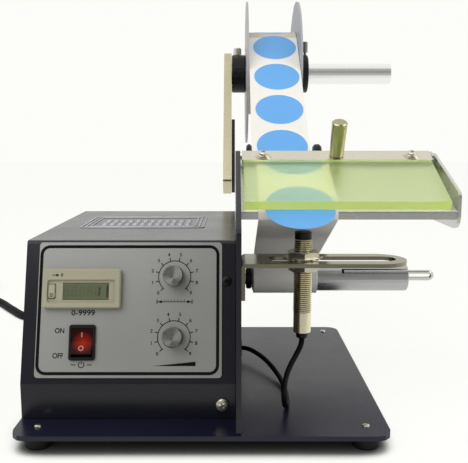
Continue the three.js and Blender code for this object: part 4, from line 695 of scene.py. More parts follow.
def cord_curve(name, route, radius, finish):
    """A curve of one open spline along a route, as thick as the cord."""
    data = bpy.data.curves.new(name, "CURVE")
    data.dimensions = "3D"
    data.bevel_depth = radius
    data.bevel_resolution = 5
    data.use_fill_caps = True
    spline = data.splines.new("POLY")
    spline.points.add(len(route) - 1)
    for point, spot in zip(spline.points, route):
        point.co = (*spot, 1)
    spline.use_smooth = True
    data.materials.append(finish)
    return new_object(name, data)


# %% [markdown]
# The mains cord is a round 7 mm lead, as heavy as a desk machine's, and 1.73 m long. It leaves the rear panel
# through a ribbed strain relief, drops to the table within a few centimetres and runs off to the left. What is
# left of it is wound into a flat coil of two layers, tied once, with the plug lying beside it. The coil's turns
# are worked out: in along the lower layer, up by one diameter, and out again along the upper one. Its route to
# the coil is given in metres from the drawing's zero.

# %% Mains cord
CORD_RADIUS = 3.5
CORD_ROUTE = [
    (-0.095, 0.243, 0.032), (-0.095, 0.252, 0.0314), (-0.0956, 0.264, 0.0284), (-0.0988, 0.277, 0.0224),
    (-0.106, 0.2885, 0.0148), (-0.118, 0.296, 0.0084), (-0.133, 0.2975, 0.0046), (-0.149, 0.292, 0.0036),
    (-0.165, 0.284, 0.0036), (-0.181, 0.278, 0.0036), (-0.197, 0.277, 0.0036), (-0.211, 0.283, 0.0036),
    (-0.220, 0.292, 0.0036), (-0.230, 0.305, 0.0036), (-0.240, 0.318, 0.0036), (-0.2495, 0.331, 0.0037),
    (-0.2643, 0.3480, 0.004), (-0.2792, 0.3640, 0.0044), (-0.2849, 0.3708, 0.0047), (-0.2887, 0.3774, 0.0049),
    (-0.2899, 0.3834, 0.0049), (-0.2899, 0.3886, 0.0049),
]
COIL_X, COIL_Y, COIL_Z = -340.3, 405, 4.9
COIL_INNER = 29.2
COIL_PITCH = 7.7
COIL_TURNS = 2.75
COIL_STEPS_PER_TURN = 48
ARRIVING_TAIL = 16
PLUG_TAIL = 42

coil_outer = COIL_INNER + COIL_TURNS * COIL_PITCH
half_turns = COIL_TURNS * 2 * math.pi
coil_steps = round(2 * COIL_TURNS * COIL_STEPS_PER_TURN)
coil = [place(COIL_X + coil_outer, COIL_Y - ARRIVING_TAIL * share / 4, COIL_Z) for share in (4, 3, 2, 1)]
for step in range(coil_steps + 1):
    turn = 2 * half_turns * step / coil_steps
    past = turn - half_turns
    radius = COIL_INNER + COIL_PITCH * abs(past) / (2 * math.pi)
    lift = min(max((past + math.pi / 2) / math.pi, 0), 1)
    spot = (COIL_X + radius * math.cos(turn), COIL_Y + radius * math.sin(turn), COIL_Z + COIL_PITCH * lift)
    coil.append(place(*spot))
plug_x, plug_z = COIL_X - coil_outer, COIL_Z + COIL_PITCH
coil += [place(plug_x, COIL_Y - PLUG_TAIL * share / 4, plug_z) for share in (1, 2, 3, 4)]

free_route = smooth_route([DRAWING_ZERO + Vector(point) for point in CORD_ROUTE])
mains_route = free_route + coil
mains_length = route_length(mains_route)
mains_cord = cord_curve("mains_cord", mains_route, CORD_RADIUS * MM, cord_pvc)
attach(mains_cord, "machine")
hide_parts("power_cord", "power_cord_coil")
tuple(mains_route[0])
print(f"mains cord {mains_length:.3f} m, of which {route_length(free_route):.3f} m runs free")

# %% [markdown]
# The sensor's cable hangs from its lower end, makes a small loop on the base plate and returns to a grommet in
# the side plate. The sensor slides, so the cable runs between two bodies. It is built as a mesh, not as a curve.
# The tube is swept step by step, and at each its ring is turned with the least possible twist.

# %% Sensor cable
CABLE_RADIUS = 1.75
CABLE_ROUTE = [
    (0.0435, 0.061, 0.0513), (0.0435, 0.061, 0.0494), (0.0426, 0.0604, 0.046), (0.0397, 0.0582, 0.0409),
    (0.0361, 0.0543, 0.0359), (0.0333, 0.0493, 0.0318), (0.0318, 0.0446, 0.0291), (0.031, 0.0402, 0.0281),
    (0.0302, 0.0352, 0.026), (0.0301, 0.0331, 0.021), (0.031, 0.0352, 0.016), (0.0323, 0.0402, 0.0139),
    (0.0331, 0.05, 0.0139), (0.0332, 0.06, 0.0139), (0.0329, 0.0698, 0.0141), (0.0315, 0.0815, 0.015),
    (0.0291, 0.091, 0.0163), (0.0259, 0.1001, 0.018), (0.0209, 0.1126, 0.0194), (0.0152, 0.1233, 0.0202),
    (0.0106, 0.1305, 0.0203), (0.0083, 0.133, 0.0201), (0.0056, 0.1345, 0.02), (0.0032, 0.1349, 0.02),
    (0.0012, 0.1349, 0.02),
]


def swept_tube(name, route, radius, sides):
    """A closed tube mesh along a route, with no twist between its rings."""
    shape = bmesh.new()
    rings = []
    along = (route[1] - route[0]).normalized()
    side = along.orthogonal().normalized()
    for i, spot in enumerate(route):
        before, after = route[max(i - 1, 0)], route[min(i + 1, len(route) - 1)]
        direction = (after - before).normalized()
        side = (along.rotation_difference(direction) @ side).normalized()
        along = direction
        third = along.cross(side)
        turns = [2 * math.pi * k / sides for k in range(sides)]
        rings.append([shape.verts.new(spot + radius * (math.cos(t) * side + math.sin(t) * third)) for t in turns])
    add_skin(shape, rings)
    shape.faces.new(rings[0])
    shape.faces.new(rings[-1])
    return to_mesh(shape, name)


cable_route = smooth_route([DRAWING_ZERO + Vector(point) for point in CABLE_ROUTE], 5)
cable_length = route_length(cable_route)
cable_mesh = swept_tube("sensor_lead", cable_route, CABLE_RADIUS * MM, 14)
cable_mesh.materials.append(cord_pvc)
cable_mesh.shade_smooth()
sensor_lead = new_object("sensor_lead", cable_mesh)
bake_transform(sensor_lead)
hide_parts("sensor_cable")
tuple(cable_route[0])
print(f"sensor cable {cable_length:.3f} m")

# %% [markdown]
# Small marks have to lie on surfaces that lean or curve. A ray shot back along a frame's z finds the surface of
# a solid below any point, so a mark can be draped over it instead of being placed by trial.

# %% Find surfaces
trees = {}


def surface_height(solid, frame_matrix, x, y, start=60):
    """How far out of a frame a solid's surface lies at x and y, in millimetres."""
    if solid not in trees:
        trees[solid] = BVHTree.FromObject(frame["nodes"][solid], bpy.context.evaluated_depsgraph_get())
    inward = -(frame_matrix.to_3x3() @ UP)
    hit = trees[solid].ray_cast(within(frame_matrix, x, y, start), inward)[0]
    return (frame_matrix.inverted() @ hit).z / MM


plate_front = surface_height("control_plate", face, -60, 20)
window_front = surface_height("counter_window", face, -94, 56)
bezel_front = surface_height("counter_case", face, -94, 67)
housing_top = surface_height("housing_cover", upright, -60, 100, 300)
print(f"plate {plate_front:.1f}, window {window_front:.1f}, bezel {bezel_front:.1f} mm out, top {housing_top:.1f} up")

# %% [markdown]
# ## The control face
#
# Everything on the plate is screen print: a frame line, two dial scales with plain numbers, ON and OFF, and a
# few signs. Each is a flat shape pushed up by a tenth of a millimetre. Letters come from Blender's own font.

# %% Printed shapes
INK = 0.1
BOLD = 0.016
CAPITALS = 0.7


def add_words(shape, words, height, x, y, low, wide=1.0):
    """Adds lettering to a bmesh, as high as its capitals and centred on a spot, all in millimetres."""
    data = bpy.data.curves.new("lettering", "FONT")
    data.body = words
    data.size = height / CAPITALS
    data.align_x = "CENTER"
    data.align_y = "CENTER"
    data.extrude = INK / 2
    data.offset = BOLD * data.size
    letters = new_object("lettering", data)
    bpy.context.view_layer.update()
    mesh = bpy.data.meshes.new_from_object(letters.evaluated_get(bpy.context.evaluated_depsgraph_get()))
    mesh.transform(Matrix.Translation((x, y, low + INK / 2)) @ Matrix.Diagonal((wide, 1, 1, 1)))
    shape.from_mesh(mesh)
    bpy.data.objects.remove(letters)
    bpy.data.curves.remove(data)
    bpy.data.meshes.remove(mesh)


def add_bar(shape, start, end, thickness, low, height=INK):
    """Adds a straight bar between two points on a face."""
    (x0, y0), (x1, y1) = start, end
    length = math.hypot(x1 - x0, y1 - y0)
    nx, ny = -(y1 - y0) / length * thickness / 2, (x1 - x0) / length * thickness / 2
    outline = [(x0 - nx, y0 - ny), (x1 - nx, y1 - ny), (x1 + nx, y1 + ny), (x0 + nx, y0 + ny)]
    add_plate(shape, outline, low, low + height)


def add_arc(shape, x, y, radius, thickness, from_degrees, to_degrees, low, steps=40):
    """Adds a thin arc. Degrees run clockwise from the top, as on a dial."""
    outline = []
    for edge, way in ((radius + thickness / 2, 1), (radius - thickness / 2, -1)):
        for step in range(steps + 1)[::way]:
            turn = math.radians(from_degrees + (to_degrees - from_degrees) * step / steps)
            outline.append((x + edge * math.sin(turn), y + edge * math.cos(turn)))
    half = len(outline) // 2
    for i in range(half - 1):
        quad = [outline[i], outline[i + 1], outline[-2 - i], outline[-1 - i]]
        add_plate(shape, quad, low, low + INK)


# %% Frame line on the control plate
LINE_WIDTH, LINE_RADIUS = 1.9, 5
LINE_MIDDLE, LINE_BOX = (-66.1, 45.05), (109.8, 77.7)
frame_line = bmesh.new()
outer_line, inner_line = (
    rounded(LINE_BOX[0] + grow, LINE_BOX[1] + grow, LINE_RADIUS + grow / 2, *LINE_MIDDLE)
    for grow in (LINE_WIDTH, -LINE_WIDTH)
)
add_plate(frame_line, outer_line, plate_front, plate_front + INK, inner_line)
add_piece("printed_frame_line", frame_line, face, black_ink, "machine")

# %% [markdown]
# Each dial has ten ticks, thirty degrees apart, with a number at each and the gap at the bottom. The knobs'
# middles come from their joints, so that a scale always sits round its own knob.

# %% Dial scales
SCALE_RADIUS, TICK_END = 10, 12.1
NUMBER_RADIUS, NUMBER_HEIGHT = 14.2, 2.1
for dial in ("length", "speed"):
    spot = face.inverted() @ Vector(joints[f"{dial}_dial_turn"]["pos_m"])
    middle_x, middle_y = spot.x / MM, spot.y / MM
    scale_print = bmesh.new()
    add_arc(scale_print, middle_x, middle_y, SCALE_RADIUS, 0.5, -139, 139, plate_front)
    for number in range(10):
        turn = math.radians(-135 + 30 * number)
        along, up = math.sin(turn), math.cos(turn)
        start, end, spot = (
            (middle_x + reach * along, middle_y + reach * up) for reach in (SCALE_RADIUS, TICK_END, NUMBER_RADIUS)
        )
        add_bar(scale_print, start, end, 0.55, plate_front)
        add_words(scale_print, str(number), NUMBER_HEIGHT, *spot, plate_front)
    name = f"printed_{dial}_scale"
    add_piece(name, scale_print, face, black_ink, "machine")
    print(name, "round", round(middle_x, 1), round(middle_y, 1))

# %% [markdown]
# Signs stand in place of words: a ruler-like double arrow for the length, a growing wedge for the speed, the
# usual ring and stroke for the mains, and plain numbers for the counter. ON and OFF stay, as on any switch.

# %% Signs on the plate
signs = bmesh.new()
add_words(signs, "ON", 3.1, -108.0, 31.8, plate_front, 0.85)
add_words(signs, "OFF", 3.1, -108.6, 16.7, plate_front, 0.85)
add_words(signs, "0-9999", 3.3, -94.0, 42.7, plate_front, 1.1)

POWER_X, POWER_Y = -94.1, 11.4
add_arc(signs, POWER_X, POWER_Y, 1.7, 0.5, 32, 328, plate_front, 24)
add_bar(signs, (POWER_X, POWER_Y + 0.4), (POWER_X, POWER_Y + 2.3), 0.5, plate_front)
for side in (-1, 1):
    add_bar(signs, (POWER_X + side * 3.4, POWER_Y), (POWER_X + side * 6.4, POWER_Y), 0.5, plate_front)

ARROW_X, ARROW_Y, ARROW_HALF = -37.9, 49.6, 10.8
for side in (-1, 1):
    tip = ARROW_X + side * ARROW_HALF
    add_bar(signs, (ARROW_X, ARROW_Y), (tip, ARROW_Y), 0.4, plate_front)
    add_bar(signs, (tip, ARROW_Y - 1.4), (tip, ARROW_Y + 1.4), 0.5, plate_front)
    arrow_head = [(tip - side * 0.3, ARROW_Y), (tip - side * 3, ARROW_Y + 0.9), (tip - side * 3, ARROW_Y - 0.9)]
    add_plate(signs, arrow_head[::side], plate_front, plate_front + INK)
for step in range(-3, 4):
    add_bar(signs, (ARROW_X + step * 2, ARROW_Y + 0.5), (ARROW_X + step * 2, ARROW_Y + 1.3), 0.3, plate_front)

WEDGE_LEFT, WEDGE_RIGHT, WEDGE_LOW, WEDGE_TOP = -50.6, -24.6, 10.7, 13.3
wedge = [(WEDGE_LEFT, WEDGE_LOW), (WEDGE_RIGHT, WEDGE_LOW), (WEDGE_RIGHT, WEDGE_TOP)]
add_plate(signs, wedge, plate_front, plate_front + INK)
add_piece("printed_signs", signs, face, black_ink, "machine")

# %% [markdown]
# The counter shows a single 1. A seven-segment display has every segment built in, and the ones that are off
# still show faintly, so five dim eights are drawn with the lit strokes over the last one. Digits lean by six
# degrees. The dark strip at the right is painted shadow along the window's edge.

# %% Counter display
DIGIT_HEIGHT, DIGIT_WIDTH, STROKE = 5.4, 2.6, 0.8
LAST_DIGIT_X, DIGIT_Y, DIGIT_PITCH = -86.6, 53.1, 4.7
GAP_ACROSS, GAP_UP = 0.12, 0.09
DIGIT_LEAN = math.tan(math.radians(6))
SEGMENTS = {
    "top": ((0, 2), (1, 2)),
    "middle": ((0, 1), (1, 1)),
    "bottom": ((0, 0), (1, 0)),
    "upper_left": ((0, 1), (0, 2)),
    "lower_left": ((0, 0), (0, 1)),
    "upper_right": ((1, 1), (1, 2)),
    "lower_right": ((1, 0), (1, 1)),
}


def add_digit(shape, x, y, lit, low):
    """Adds the named strokes of one seven-segment digit, its lower left corner at x and y."""
    for name in lit:
        start, end = (Vector(corner) for corner in SEGMENTS[name])
        gap = (end - start) * Vector((GAP_ACROSS, GAP_UP))
        ends = []
        for corner in (start + gap, end - gap):
            height = corner.y * DIGIT_HEIGHT / 2
            ends.append((x + corner.x * DIGIT_WIDTH + height * DIGIT_LEAN, y + height))
        add_bar(shape, *ends, STROKE, low)


dim_digits, lit_digit_and_shadow = bmesh.new(), bmesh.new()
for place_value in range(5):
    add_digit(dim_digits, LAST_DIGIT_X - place_value * DIGIT_PITCH, DIGIT_Y, SEGMENTS, window_front)
add_digit(lit_digit_and_shadow, LAST_DIGIT_X, DIGIT_Y, ("upper_right", "lower_right"), window_front + INK)
# A dark bar along the window's right edge: painted shadow.
add_bar(lit_digit_and_shadow, (-78.9, 52.2), (-78.9, 59.4), 0.9, window_front)
add_piece("display_digits_off", dim_digits, face, ghost_ink, "machine")
add_piece("display_digit_lit_and_shadow", lit_digit_and_shadow, face, segment_ink, "machine")

# %% Reset sign on the counter's bezel, and painted shade in the button's grip
RESET_Y = 65.6
reset_sign = bmesh.new()
add_words(reset_sign, "0", 1.9, -106.6, RESET_Y, bezel_front)
add_bar(reset_sign, (-112.6, RESET_Y), (-109.0, RESET_Y), 0.4, bezel_front)
arrow_head = [(-108.2, RESET_Y), (-110.0, RESET_Y + 0.9), (-110.0, RESET_Y - 0.9)]
add_plate(reset_sign, arrow_head, bezel_front, bezel_front + INK)
add_piece("printed_reset_sign", reset_sign, face, black_ink, "machine")
button_front = surface_height("reset_button", face, -112.7, 55.8)
# Three dark bars across the button's lower end are painted shade in its grip.
painted_grip_shade = bmesh.new()
for rib_y in (52.6, 53.4, 54.2):
    add_bar(painted_grip_shade, (-113.7, rib_y), (-111.7, rib_y), 0.35, button_front)
add_piece("reset_button_grip_shade", painted_grip_shade, face, segment_ink, "reset_key")

# %% [markdown]
# A rocker carries the line for on and the ring for off. Its front is a shallow valley and it is tipped, so the
# two marks are draped: every corner drops straight back on the rocker's surface.

# %% Marks on the rocker
MARK_DEPTH = 0.15
MARK_X, RING_Y = -93.8, 21.4


def drape(shape, solid, frame_matrix):
    """Moves each corner of a flat shape to lie on a solid's surface. Corners above zero stay proud."""
    for vertex in shape.verts:
        base = surface_height(solid, frame_matrix, vertex.co.x, vertex.co.y)
        vertex.co.z = base + (MARK_DEPTH if vertex.co.z > 0 else -MARK_DEPTH)


rocker_marks = bmesh.new()
add_bar(rocker_marks, (MARK_X, 28.0), (MARK_X, 31.0), 0.7, -INK, 2 * INK)
add_plate(rocker_marks, circle(1.6, MARK_X, RING_Y, 24), -INK, INK, circle(1.0, MARK_X, RING_Y, 24))
drape(rocker_marks, "switch_rocker", face)
add_piece("rocker_marks", rocker_marks, face, white_ink, "power_rocker")

# %% [markdown]
# ## Screws
#
# Pan-head screws with a cross recess hold the sheet parts. One head is made with unit radius: a dome is turned
# and two thin bars are cut from it with a boolean. Every screw is then a scaled copy, turned to its own angle.

# %% One screw head
HEAD_PROFILE = [(0, -0.05), (1, -0.05), (1, 0.2), (0.93, 0.36), (0.72, 0.5), (0.4, 0.58), (0, 0.6)]
ARM_HALF, ARM_WIDTH, ARM_FLOOR = 0.52, 0.2, 0.18
head_shape, recess_shape = bmesh.new(), bmesh.new()
add_turned(head_shape, HEAD_PROFILE, 40)
for ends in (((-ARM_HALF, 0), (ARM_HALF, 0)), ((0, -ARM_HALF), (0, ARM_HALF))):
    add_bar(recess_shape, *ends, ARM_WIDTH, ARM_FLOOR, 0.6)
head = new_object("screw_head", to_mesh(head_shape, "screw_head"))
recess_mesh = bpy.data.meshes.new("screw_recess")
recess_shape.to_mesh(recess_mesh)
recess_shape.free()
recess = new_object("screw_recess", recess_mesh)
cut = head.modifiers.new("recess", "BOOLEAN")
cut.object = recess
cut.solver = "EXACT"
cut.use_self = True
bpy.context.view_layer.update()
cross_head = bpy.data.meshes.new_from_object(head.evaluated_get(bpy.context.evaluated_depsgraph_get()))
for part in (head, recess):
    bpy.data.objects.remove(part)
print("screw head with", len(cross_head.polygons), "faces")


def add_screw(name, frame_matrix, x, y, z, radius, finish, body, turn=0):
    """Places a cross-recess screw head of that radius on a face, all in millimetres."""
    mesh = cross_head.copy()
    mesh.transform(shifted(frame_matrix, x, y, z, turn) @ Matrix.Scale(radius * MM, 4))
    mesh.materials.clear()
    return add_mesh(name, mesh, finish, body)


# %% [markdown]
# Two screws with spring and plain washers clamp the acrylic under the bar. Four hold the feet from above, one
# holds the housing's front corner, and the rear panel and side plate have theirs.

# %% Place the screws
BAR_SCREWS_UP = 57.4
bar_top = surface_height("clamp_bar", table, 30, 57)
for number, (x, turn) in enumerate(((19.2, 20), (121.6, -12))):
    washers = bmesh.new()
    for outer, low, high in ((5.9, 0, 0.5), (4.5, 0.5, 1.2)):
        add_turned(washers, [(2.0, low), (outer, low), (outer, high), (2.0, high)])
    name = f"bar_washers_{number}"
    add_piece(name, washers, shifted(table, x, BAR_SCREWS_UP, bar_top), nickel_plate, "cover")
    add_screw(f"bar_screw_{number}", table, x, BAR_SCREWS_UP, bar_top + 1.2, 3.1, nickel_plate, "cover", turn)

base_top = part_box("base_plate")[1].z / MM
for name in ("foot_front_left", "foot_front_right", "foot_back_left", "foot_back_right"):
    low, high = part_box(name)
    spot = ((low + high) / 2 - DRAWING_ZERO) / MM
    add_screw(f"{name}_screw", upright, spot.x, spot.y, base_top, 2.2, nickel_plate, "machine", 30)

plinth = local_frame(place(0, HOUSING_FRONT, 0), ACROSS, UP)
edge_front = surface_height("housing_cover", face, -5.8, 62.4)
add_screw("housing_corner_screw", plinth, -8.2, 21.2, 0, 4.2, nickel_plate, "machine", 25)
add_screw("face_edge_screw", face, -5.8, 62.4, edge_front, 3.2, black_abs, "machine", 10)

rear = local_frame(place(0, 0, 0), -ACROSS, UP)
rear_out = (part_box("rear_panel")[1].y - DRAWING_ZERO.y) / MM
for x in (-123.5, -8.5):
    for z in (20, 108):
        add_screw(f"rear_screw_{-x:.0f}_{z}", rear, -x, z, rear_out, 3.0, nickel_plate, "machine", x)
print("screws placed")

# %% [markdown]
# ## The housing's top
#
# The top of the cover is pressed: three beads run round a field of louvres that let the motor's heat out. A
# bead is a low ring with soft edges. A louvre is a small hood, slit along its rear, and the two rows repeat it.
# The dark inside of each slit is painted shade: a thin black bar on the top.

# %% Pressed beads and louvres
BEAD_WIDTH, BEAD_HEIGHT, BEAD_PITCH = 1.3, 0.5, 3.0
TOP_MIDDLE = (-67.3, 138.5)
TOP_WIDTH, TOP_DEPTH = 89.5, 63
# The beads wear the pale coat: a painted highlight along the pressed pattern.
for number in range(3):
    wide, deep = TOP_WIDTH - 2 * number * BEAD_PITCH, TOP_DEPTH - 2 * number * BEAD_PITCH
    ring = bmesh.new()
    outer_bead = rounded(wide, deep, 4, *TOP_MIDDLE)
    inner_bead = rounded(wide - 2 * BEAD_WIDTH, deep - 2 * BEAD_WIDTH, 2.5, *TOP_MIDDLE)
    add_plate(ring, outer_bead, housing_top - 0.1, housing_top + BEAD_HEIGHT, inner_bead)
    soften(add_piece(f"top_bead_{number}", ring, upright, painted_highlight_coat, "machine"), 0.6, 3)

LOUVRE_WIDTH, LOUVRE_LENGTH, LOUVRE_HEIGHT = 3.8, 11, 1.0
LOUVRE_COLUMNS, LOUVRE_PITCH = 12, 5.6
LOUVRE_ROWS = (124.5, 141.5)
LOUVRE_STEPS = 8
LOUVRE_OFFSET = 1.3
RISE, FALL = 0.3125, 2.285
NARROW = 0.55
SLIT_HALF, SLIT_IN = 1.5, 0.6


def louvre_swell(along):
    """How full a louvre is at a share of its length: it rises soon and falls slowly."""
    return math.sin(math.pi / 2 * along / RISE) if along < RISE else math.cos((along - RISE) * FALL)


louvres, slit_shades = bmesh.new(), bmesh.new()
for row_y in LOUVRE_ROWS:
    for column in range(LOUVRE_COLUMNS):
        louvre_x = TOP_MIDDLE[0] + LOUVRE_OFFSET + (column - (LOUVRE_COLUMNS - 1) / 2) * LOUVRE_PITCH
        rear_y = row_y + LOUVRE_LENGTH / 2
        rings = []
        for step in range(LOUVRE_STEPS + 1):
            swell = louvre_swell(step / LOUVRE_STEPS)
            spread = LOUVRE_WIDTH / 2 * (NARROW + (1 - NARROW) * swell)
            ring_y = rear_y - LOUVRE_LENGTH * step / LOUVRE_STEPS
            ring_points = []
            for side in range(LOUVRE_STEPS + 1):
                turn = math.pi * side / LOUVRE_STEPS
                height = LOUVRE_HEIGHT * max(swell, 0.02) * math.sin(turn)
                spot = (louvre_x + spread * math.cos(turn), ring_y, housing_top + height)
                ring_points.append(louvres.verts.new(spot))
            rings.append(ring_points)
        for low, high in zip(rings, rings[1:]):
            for i in range(LOUVRE_STEPS):
                louvres.faces.new((low[i], low[i + 1], high[i + 1], high[i]))
        slit = [(louvre_x + side * SLIT_HALF, rear_y - SLIT_IN) for side in (-1, 1)]
        add_bar(slit_shades, *slit, 0.5, housing_top - 0.1, 0.5)
# The louvres wear the pale coat too: a painted highlight.
add_piece("top_louvres", louvres, upright, painted_highlight_coat, "machine")
# The slits are black bars: painted shade inside each louvre.
add_piece("top_louvre_slit_shade", slit_shades, upright, black_ink, "machine")
print(len(LOUVRE_ROWS) * LOUVRE_COLUMNS, "louvres inside three beads")

# %% [markdown]
# ## Paper
#
# The paper runs in straight lines between rollers and bends round them, so its path is tangents and arcs. Each
# roller is a circle in the side view with a signed radius: positive where the paper passes with the circle on
# its left. The path is then a list of short steps, and both the strip and its labels are laid along it.

# %% Paper path
PAPER_THICKNESS = 0.2
PAPER_CLEARANCE = 0.5
SPINDLE_Y, SPINDLE_Z = 374.4, 250.2
ROLL_RADIUS = 43.4
GUIDE_Y, GUIDE_Z, GUIDE_RADIUS = 192, 166, 4
TAKE_UP_Y, TAKE_UP_Z, TAKE_UP_RADIUS = 156, 71.8, 11
WOUND_PAPER = 1.8
TABLE_LENGTH, TABLE_BEND, TABLE_LIP = 64, 2.3, 4
SHEET_HALF = 0.75
WEB_LEFT, WEB_RIGHT = 14, 64


def tangent_between(first, second):
    """Ends of the straight line that leaves one circle and meets the next. A circle is y, z and signed radius."""
    (y1, z1, r1), (y2, z2, r2) = first, second
    span = Vector((y2 - y1, z2 - z1))
    swing = math.asin((r2 - r1) / span.length)
    along = Matrix.Rotation(-swing, 2) @ span.normalized()
    left = Vector((-along.y, along.x))
    return Vector((y1, z1)) - r1 * left, Vector((y2, z2)) - r2 * left


def side_path(circles, step=1.0):
    """Points in Y and Z, about a step apart, along the lines and arcs round the circles."""
    lines = [tangent_between(a, b) for a, b in zip(circles, circles[1:])]
    points = []
    for number, (start, end) in enumerate(lines):
        count = max(1, round((end - start).length / step))
        points += [start.lerp(end, i / count) for i in range(count)]
        if number + 1 == len(lines):
            points.append(end)
            break
        y, z, radius = circles[number + 1]
        middle = Vector((y, z))
        arrive, leave = end - middle, lines[number + 1][0] - middle
        sweep = math.atan2(leave.y, leave.x) - math.atan2(arrive.y, arrive.x)
        if radius > 0 and sweep < 0:
            sweep += 2 * math.pi
        if radius < 0 and sweep > 0:
            sweep -= 2 * math.pi
        count = max(4, round(abs(sweep) * abs(radius) / step))
        points += [middle + Matrix.Rotation(sweep * i / count, 2) @ arrive for i in range(count)]
    return points


def distances(points):
    """Distance along a path at each of its points."""
    sums = [0.0]
    for a, b in zip(points, points[1:]):
        sums.append(sums[-1] + (b - a).length)
    return sums


ridge_y = NOSE_Y + TABLE_LENGTH * math.cos(TABLE_SLOPE)
ridge_z = NOSE_Z + TABLE_LENGTH * math.sin(TABLE_SLOPE)
paper_circles = [
    (SPINDLE_Y, SPINDLE_Z, ROLL_RADIUS + PAPER_CLEARANCE),
    (GUIDE_Y, GUIDE_Z, -(GUIDE_RADIUS + PAPER_CLEARANCE)),
    (ridge_y, ridge_z, TABLE_BEND + PAPER_CLEARANCE),
    (NOSE_Y, NOSE_Z, TABLE_BEND + PAPER_CLEARANCE),
    (NOSE_Y - TABLE_BEND + SHEET_HALF, NOSE_Z - TABLE_LIP + SHEET_HALF, SHEET_HALF + PAPER_CLEARANCE),
    (TAKE_UP_Y, TAKE_UP_Z, -(TAKE_UP_RADIUS + WOUND_PAPER + PAPER_CLEARANCE)),
]
paper_path = side_path(paper_circles)
path_distance = distances(paper_path)
PEEL_SPOT = Vector((NOSE_Y - 1.3, NOSE_Z + 2.5))
peel = min(range(len(paper_path)), key=lambda i: (paper_path[i] - PEEL_SPOT).length)
print(f"paper path {path_distance[-1]:.0f} mm, peel edge after {path_distance[peel]:.0f} mm")

# %% [markdown]
# A strip is the path moved out by half its thickness each way, between its two edges. The rollers hold it taut,
# so it is straight across. Labels need single points of the path, so a second function finds the point and the
# normal at any distance along it.

# %% Strip of paper along a path


def path_point(points, sums, distance):
    """Point and outward normal of a path at a distance along it."""
    distance = min(max(distance, 0), sums[-1])
    i = max(k for k in range(len(sums) - 1) if sums[k] <= distance)
    share = (distance - sums[i]) / (sums[i + 1] - sums[i])
    along = (points[i + 1] - points[i]).normalized()
    return points[i].lerp(points[i + 1], share), Vector((0, along.y, -along.x))


def paper_strip(name, points, finish, across=12):
    """A closed strip of paper along a path of Y and Z."""
    shape = bmesh.new()
    xs = [WEB_LEFT + (WEB_RIGHT - WEB_LEFT) * k / across for k in range(across + 1)]
    rings = []
    for i, point in enumerate(points):
        before, after = points[max(i - 1, 0)], points[min(i + 1, len(points) - 1)]
        along = (after - before).normalized()
        out = Vector((along.y, -along.x)) * PAPER_THICKNESS / 2
        front, back = point + out, point - out
        ring = [(x, front.x, front.y) for x in xs] + [(x, back.x, back.y) for x in reversed(xs)]
        rings.append([shape.verts.new(spot) for spot in ring])
    add_skin(shape, rings)
    for ring in (rings[0], rings[-1]):
        for k in range(across):
            shape.faces.new((ring[k], ring[k + 1], ring[-2 - k], ring[-1 - k]))
    return add_piece(name, shape, upright, finish, "machine")


carrier = paper_strip("label_carrier_strip", paper_path[: peel + 1], backing_paper)
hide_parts("label_web")
returned = paper_strip("bare_return_strip", paper_path[peel:], bare_backing)
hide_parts("backing_web")

# %% [markdown]
# The labels are 44 mm discs on a 50 mm strip, about 52 mm apart. Each one is a grid of rings laid along the
# path, so it bends with the paper where the paper bends, and it goes on round the roll where it isn't off it
# yet. The one at the peel edge has come loose: it keeps straight on and sticks out over the sensor, with a
# slight curl that it brought from the roll. The strip has shifted a little under the clamp, so the distances
# of the six labels behind it are a list, not a count.

# %% Labels
LABEL_RADIUS = 21.9
LABEL_PITCH = 52.4
LABEL_SPOTS = (287.0, 232.7, 175.5, 123.2, 70.8, 18.5)
LABEL_THICKNESS = 0.12
ROLL_SINK = 0.1
LABEL_MIDDLE = (WEB_LEFT + WEB_RIGHT) / 2 + 1.3


def label_disc(name, place_point, body, rings=7, sides=56):
    """A thin disc. place_point turns x and distance, in millimetres, into a point and a normal of the drawing."""
    shape = bmesh.new()
    radii = [LABEL_RADIUS * ring / rings for ring in range(rings + 1)]
    skin = []
    for height, order in ((LABEL_THICKNESS, radii), (0.0, radii[::-1])):
        for radius in order:
            spots = [place_point(x, d) for x, d in circle(radius, sides=sides)]
            skin.append([shape.verts.new(point + normal * height) for point, normal in spots])
    add_skin(shape, skin)
    return add_piece(name, shape, upright, label_paper, body)


leave_point = paper_path[0] - Vector((SPINDLE_Y, SPINDLE_Z))
leave_angle = math.atan2(leave_point.y, leave_point.x)


def on_roll(distance):
    """Places a label's points round the roll, at a distance before the strip leaves it."""

    def place_point(x, d):
        turn = leave_angle + (distance + d) / ROLL_RADIUS
        normal = Vector((0, math.cos(turn), math.sin(turn)))
        return Vector((LABEL_MIDDLE + x, SPINDLE_Y, SPINDLE_Z)) + normal * (ROLL_RADIUS - ROLL_SINK), normal

    return place_point


def on_strip(middle):
    """Places a label's points on the carrier strip, round a distance along its path, or on the roll before it."""

    def place_point(x, d):
        if middle + d < 0:
            point, normal = on_roll(middle)(x, d)
            return point + normal * (PAPER_CLEARANCE + ROLL_SINK + PAPER_THICKNESS / 2), normal
        point, normal = path_point(paper_path, path_distance, middle + d)
        return Vector((LABEL_MIDDLE + x, point.x, point.y)) + normal * PAPER_THICKNESS / 2, normal

    return place_point


PEELED_UP = -0.8
CURL_RADIUS = 400
PEELED_OUT = TABLE_BEND + PAPER_CLEARANCE + PAPER_THICKNESS / 2 + 0.02


def on_table(x, d):
    """Places the loose label's points: flat on the strip behind the edge, curling up a little beyond it."""
    up = PEELED_UP - d
    curl = max(0.0, -up) ** 2 / (2 * CURL_RADIUS)
    point = within(table, LABEL_MIDDLE + x, up, PEELED_OUT + curl) - DRAWING_ZERO
    return point / MM, table.to_3x3() @ UP


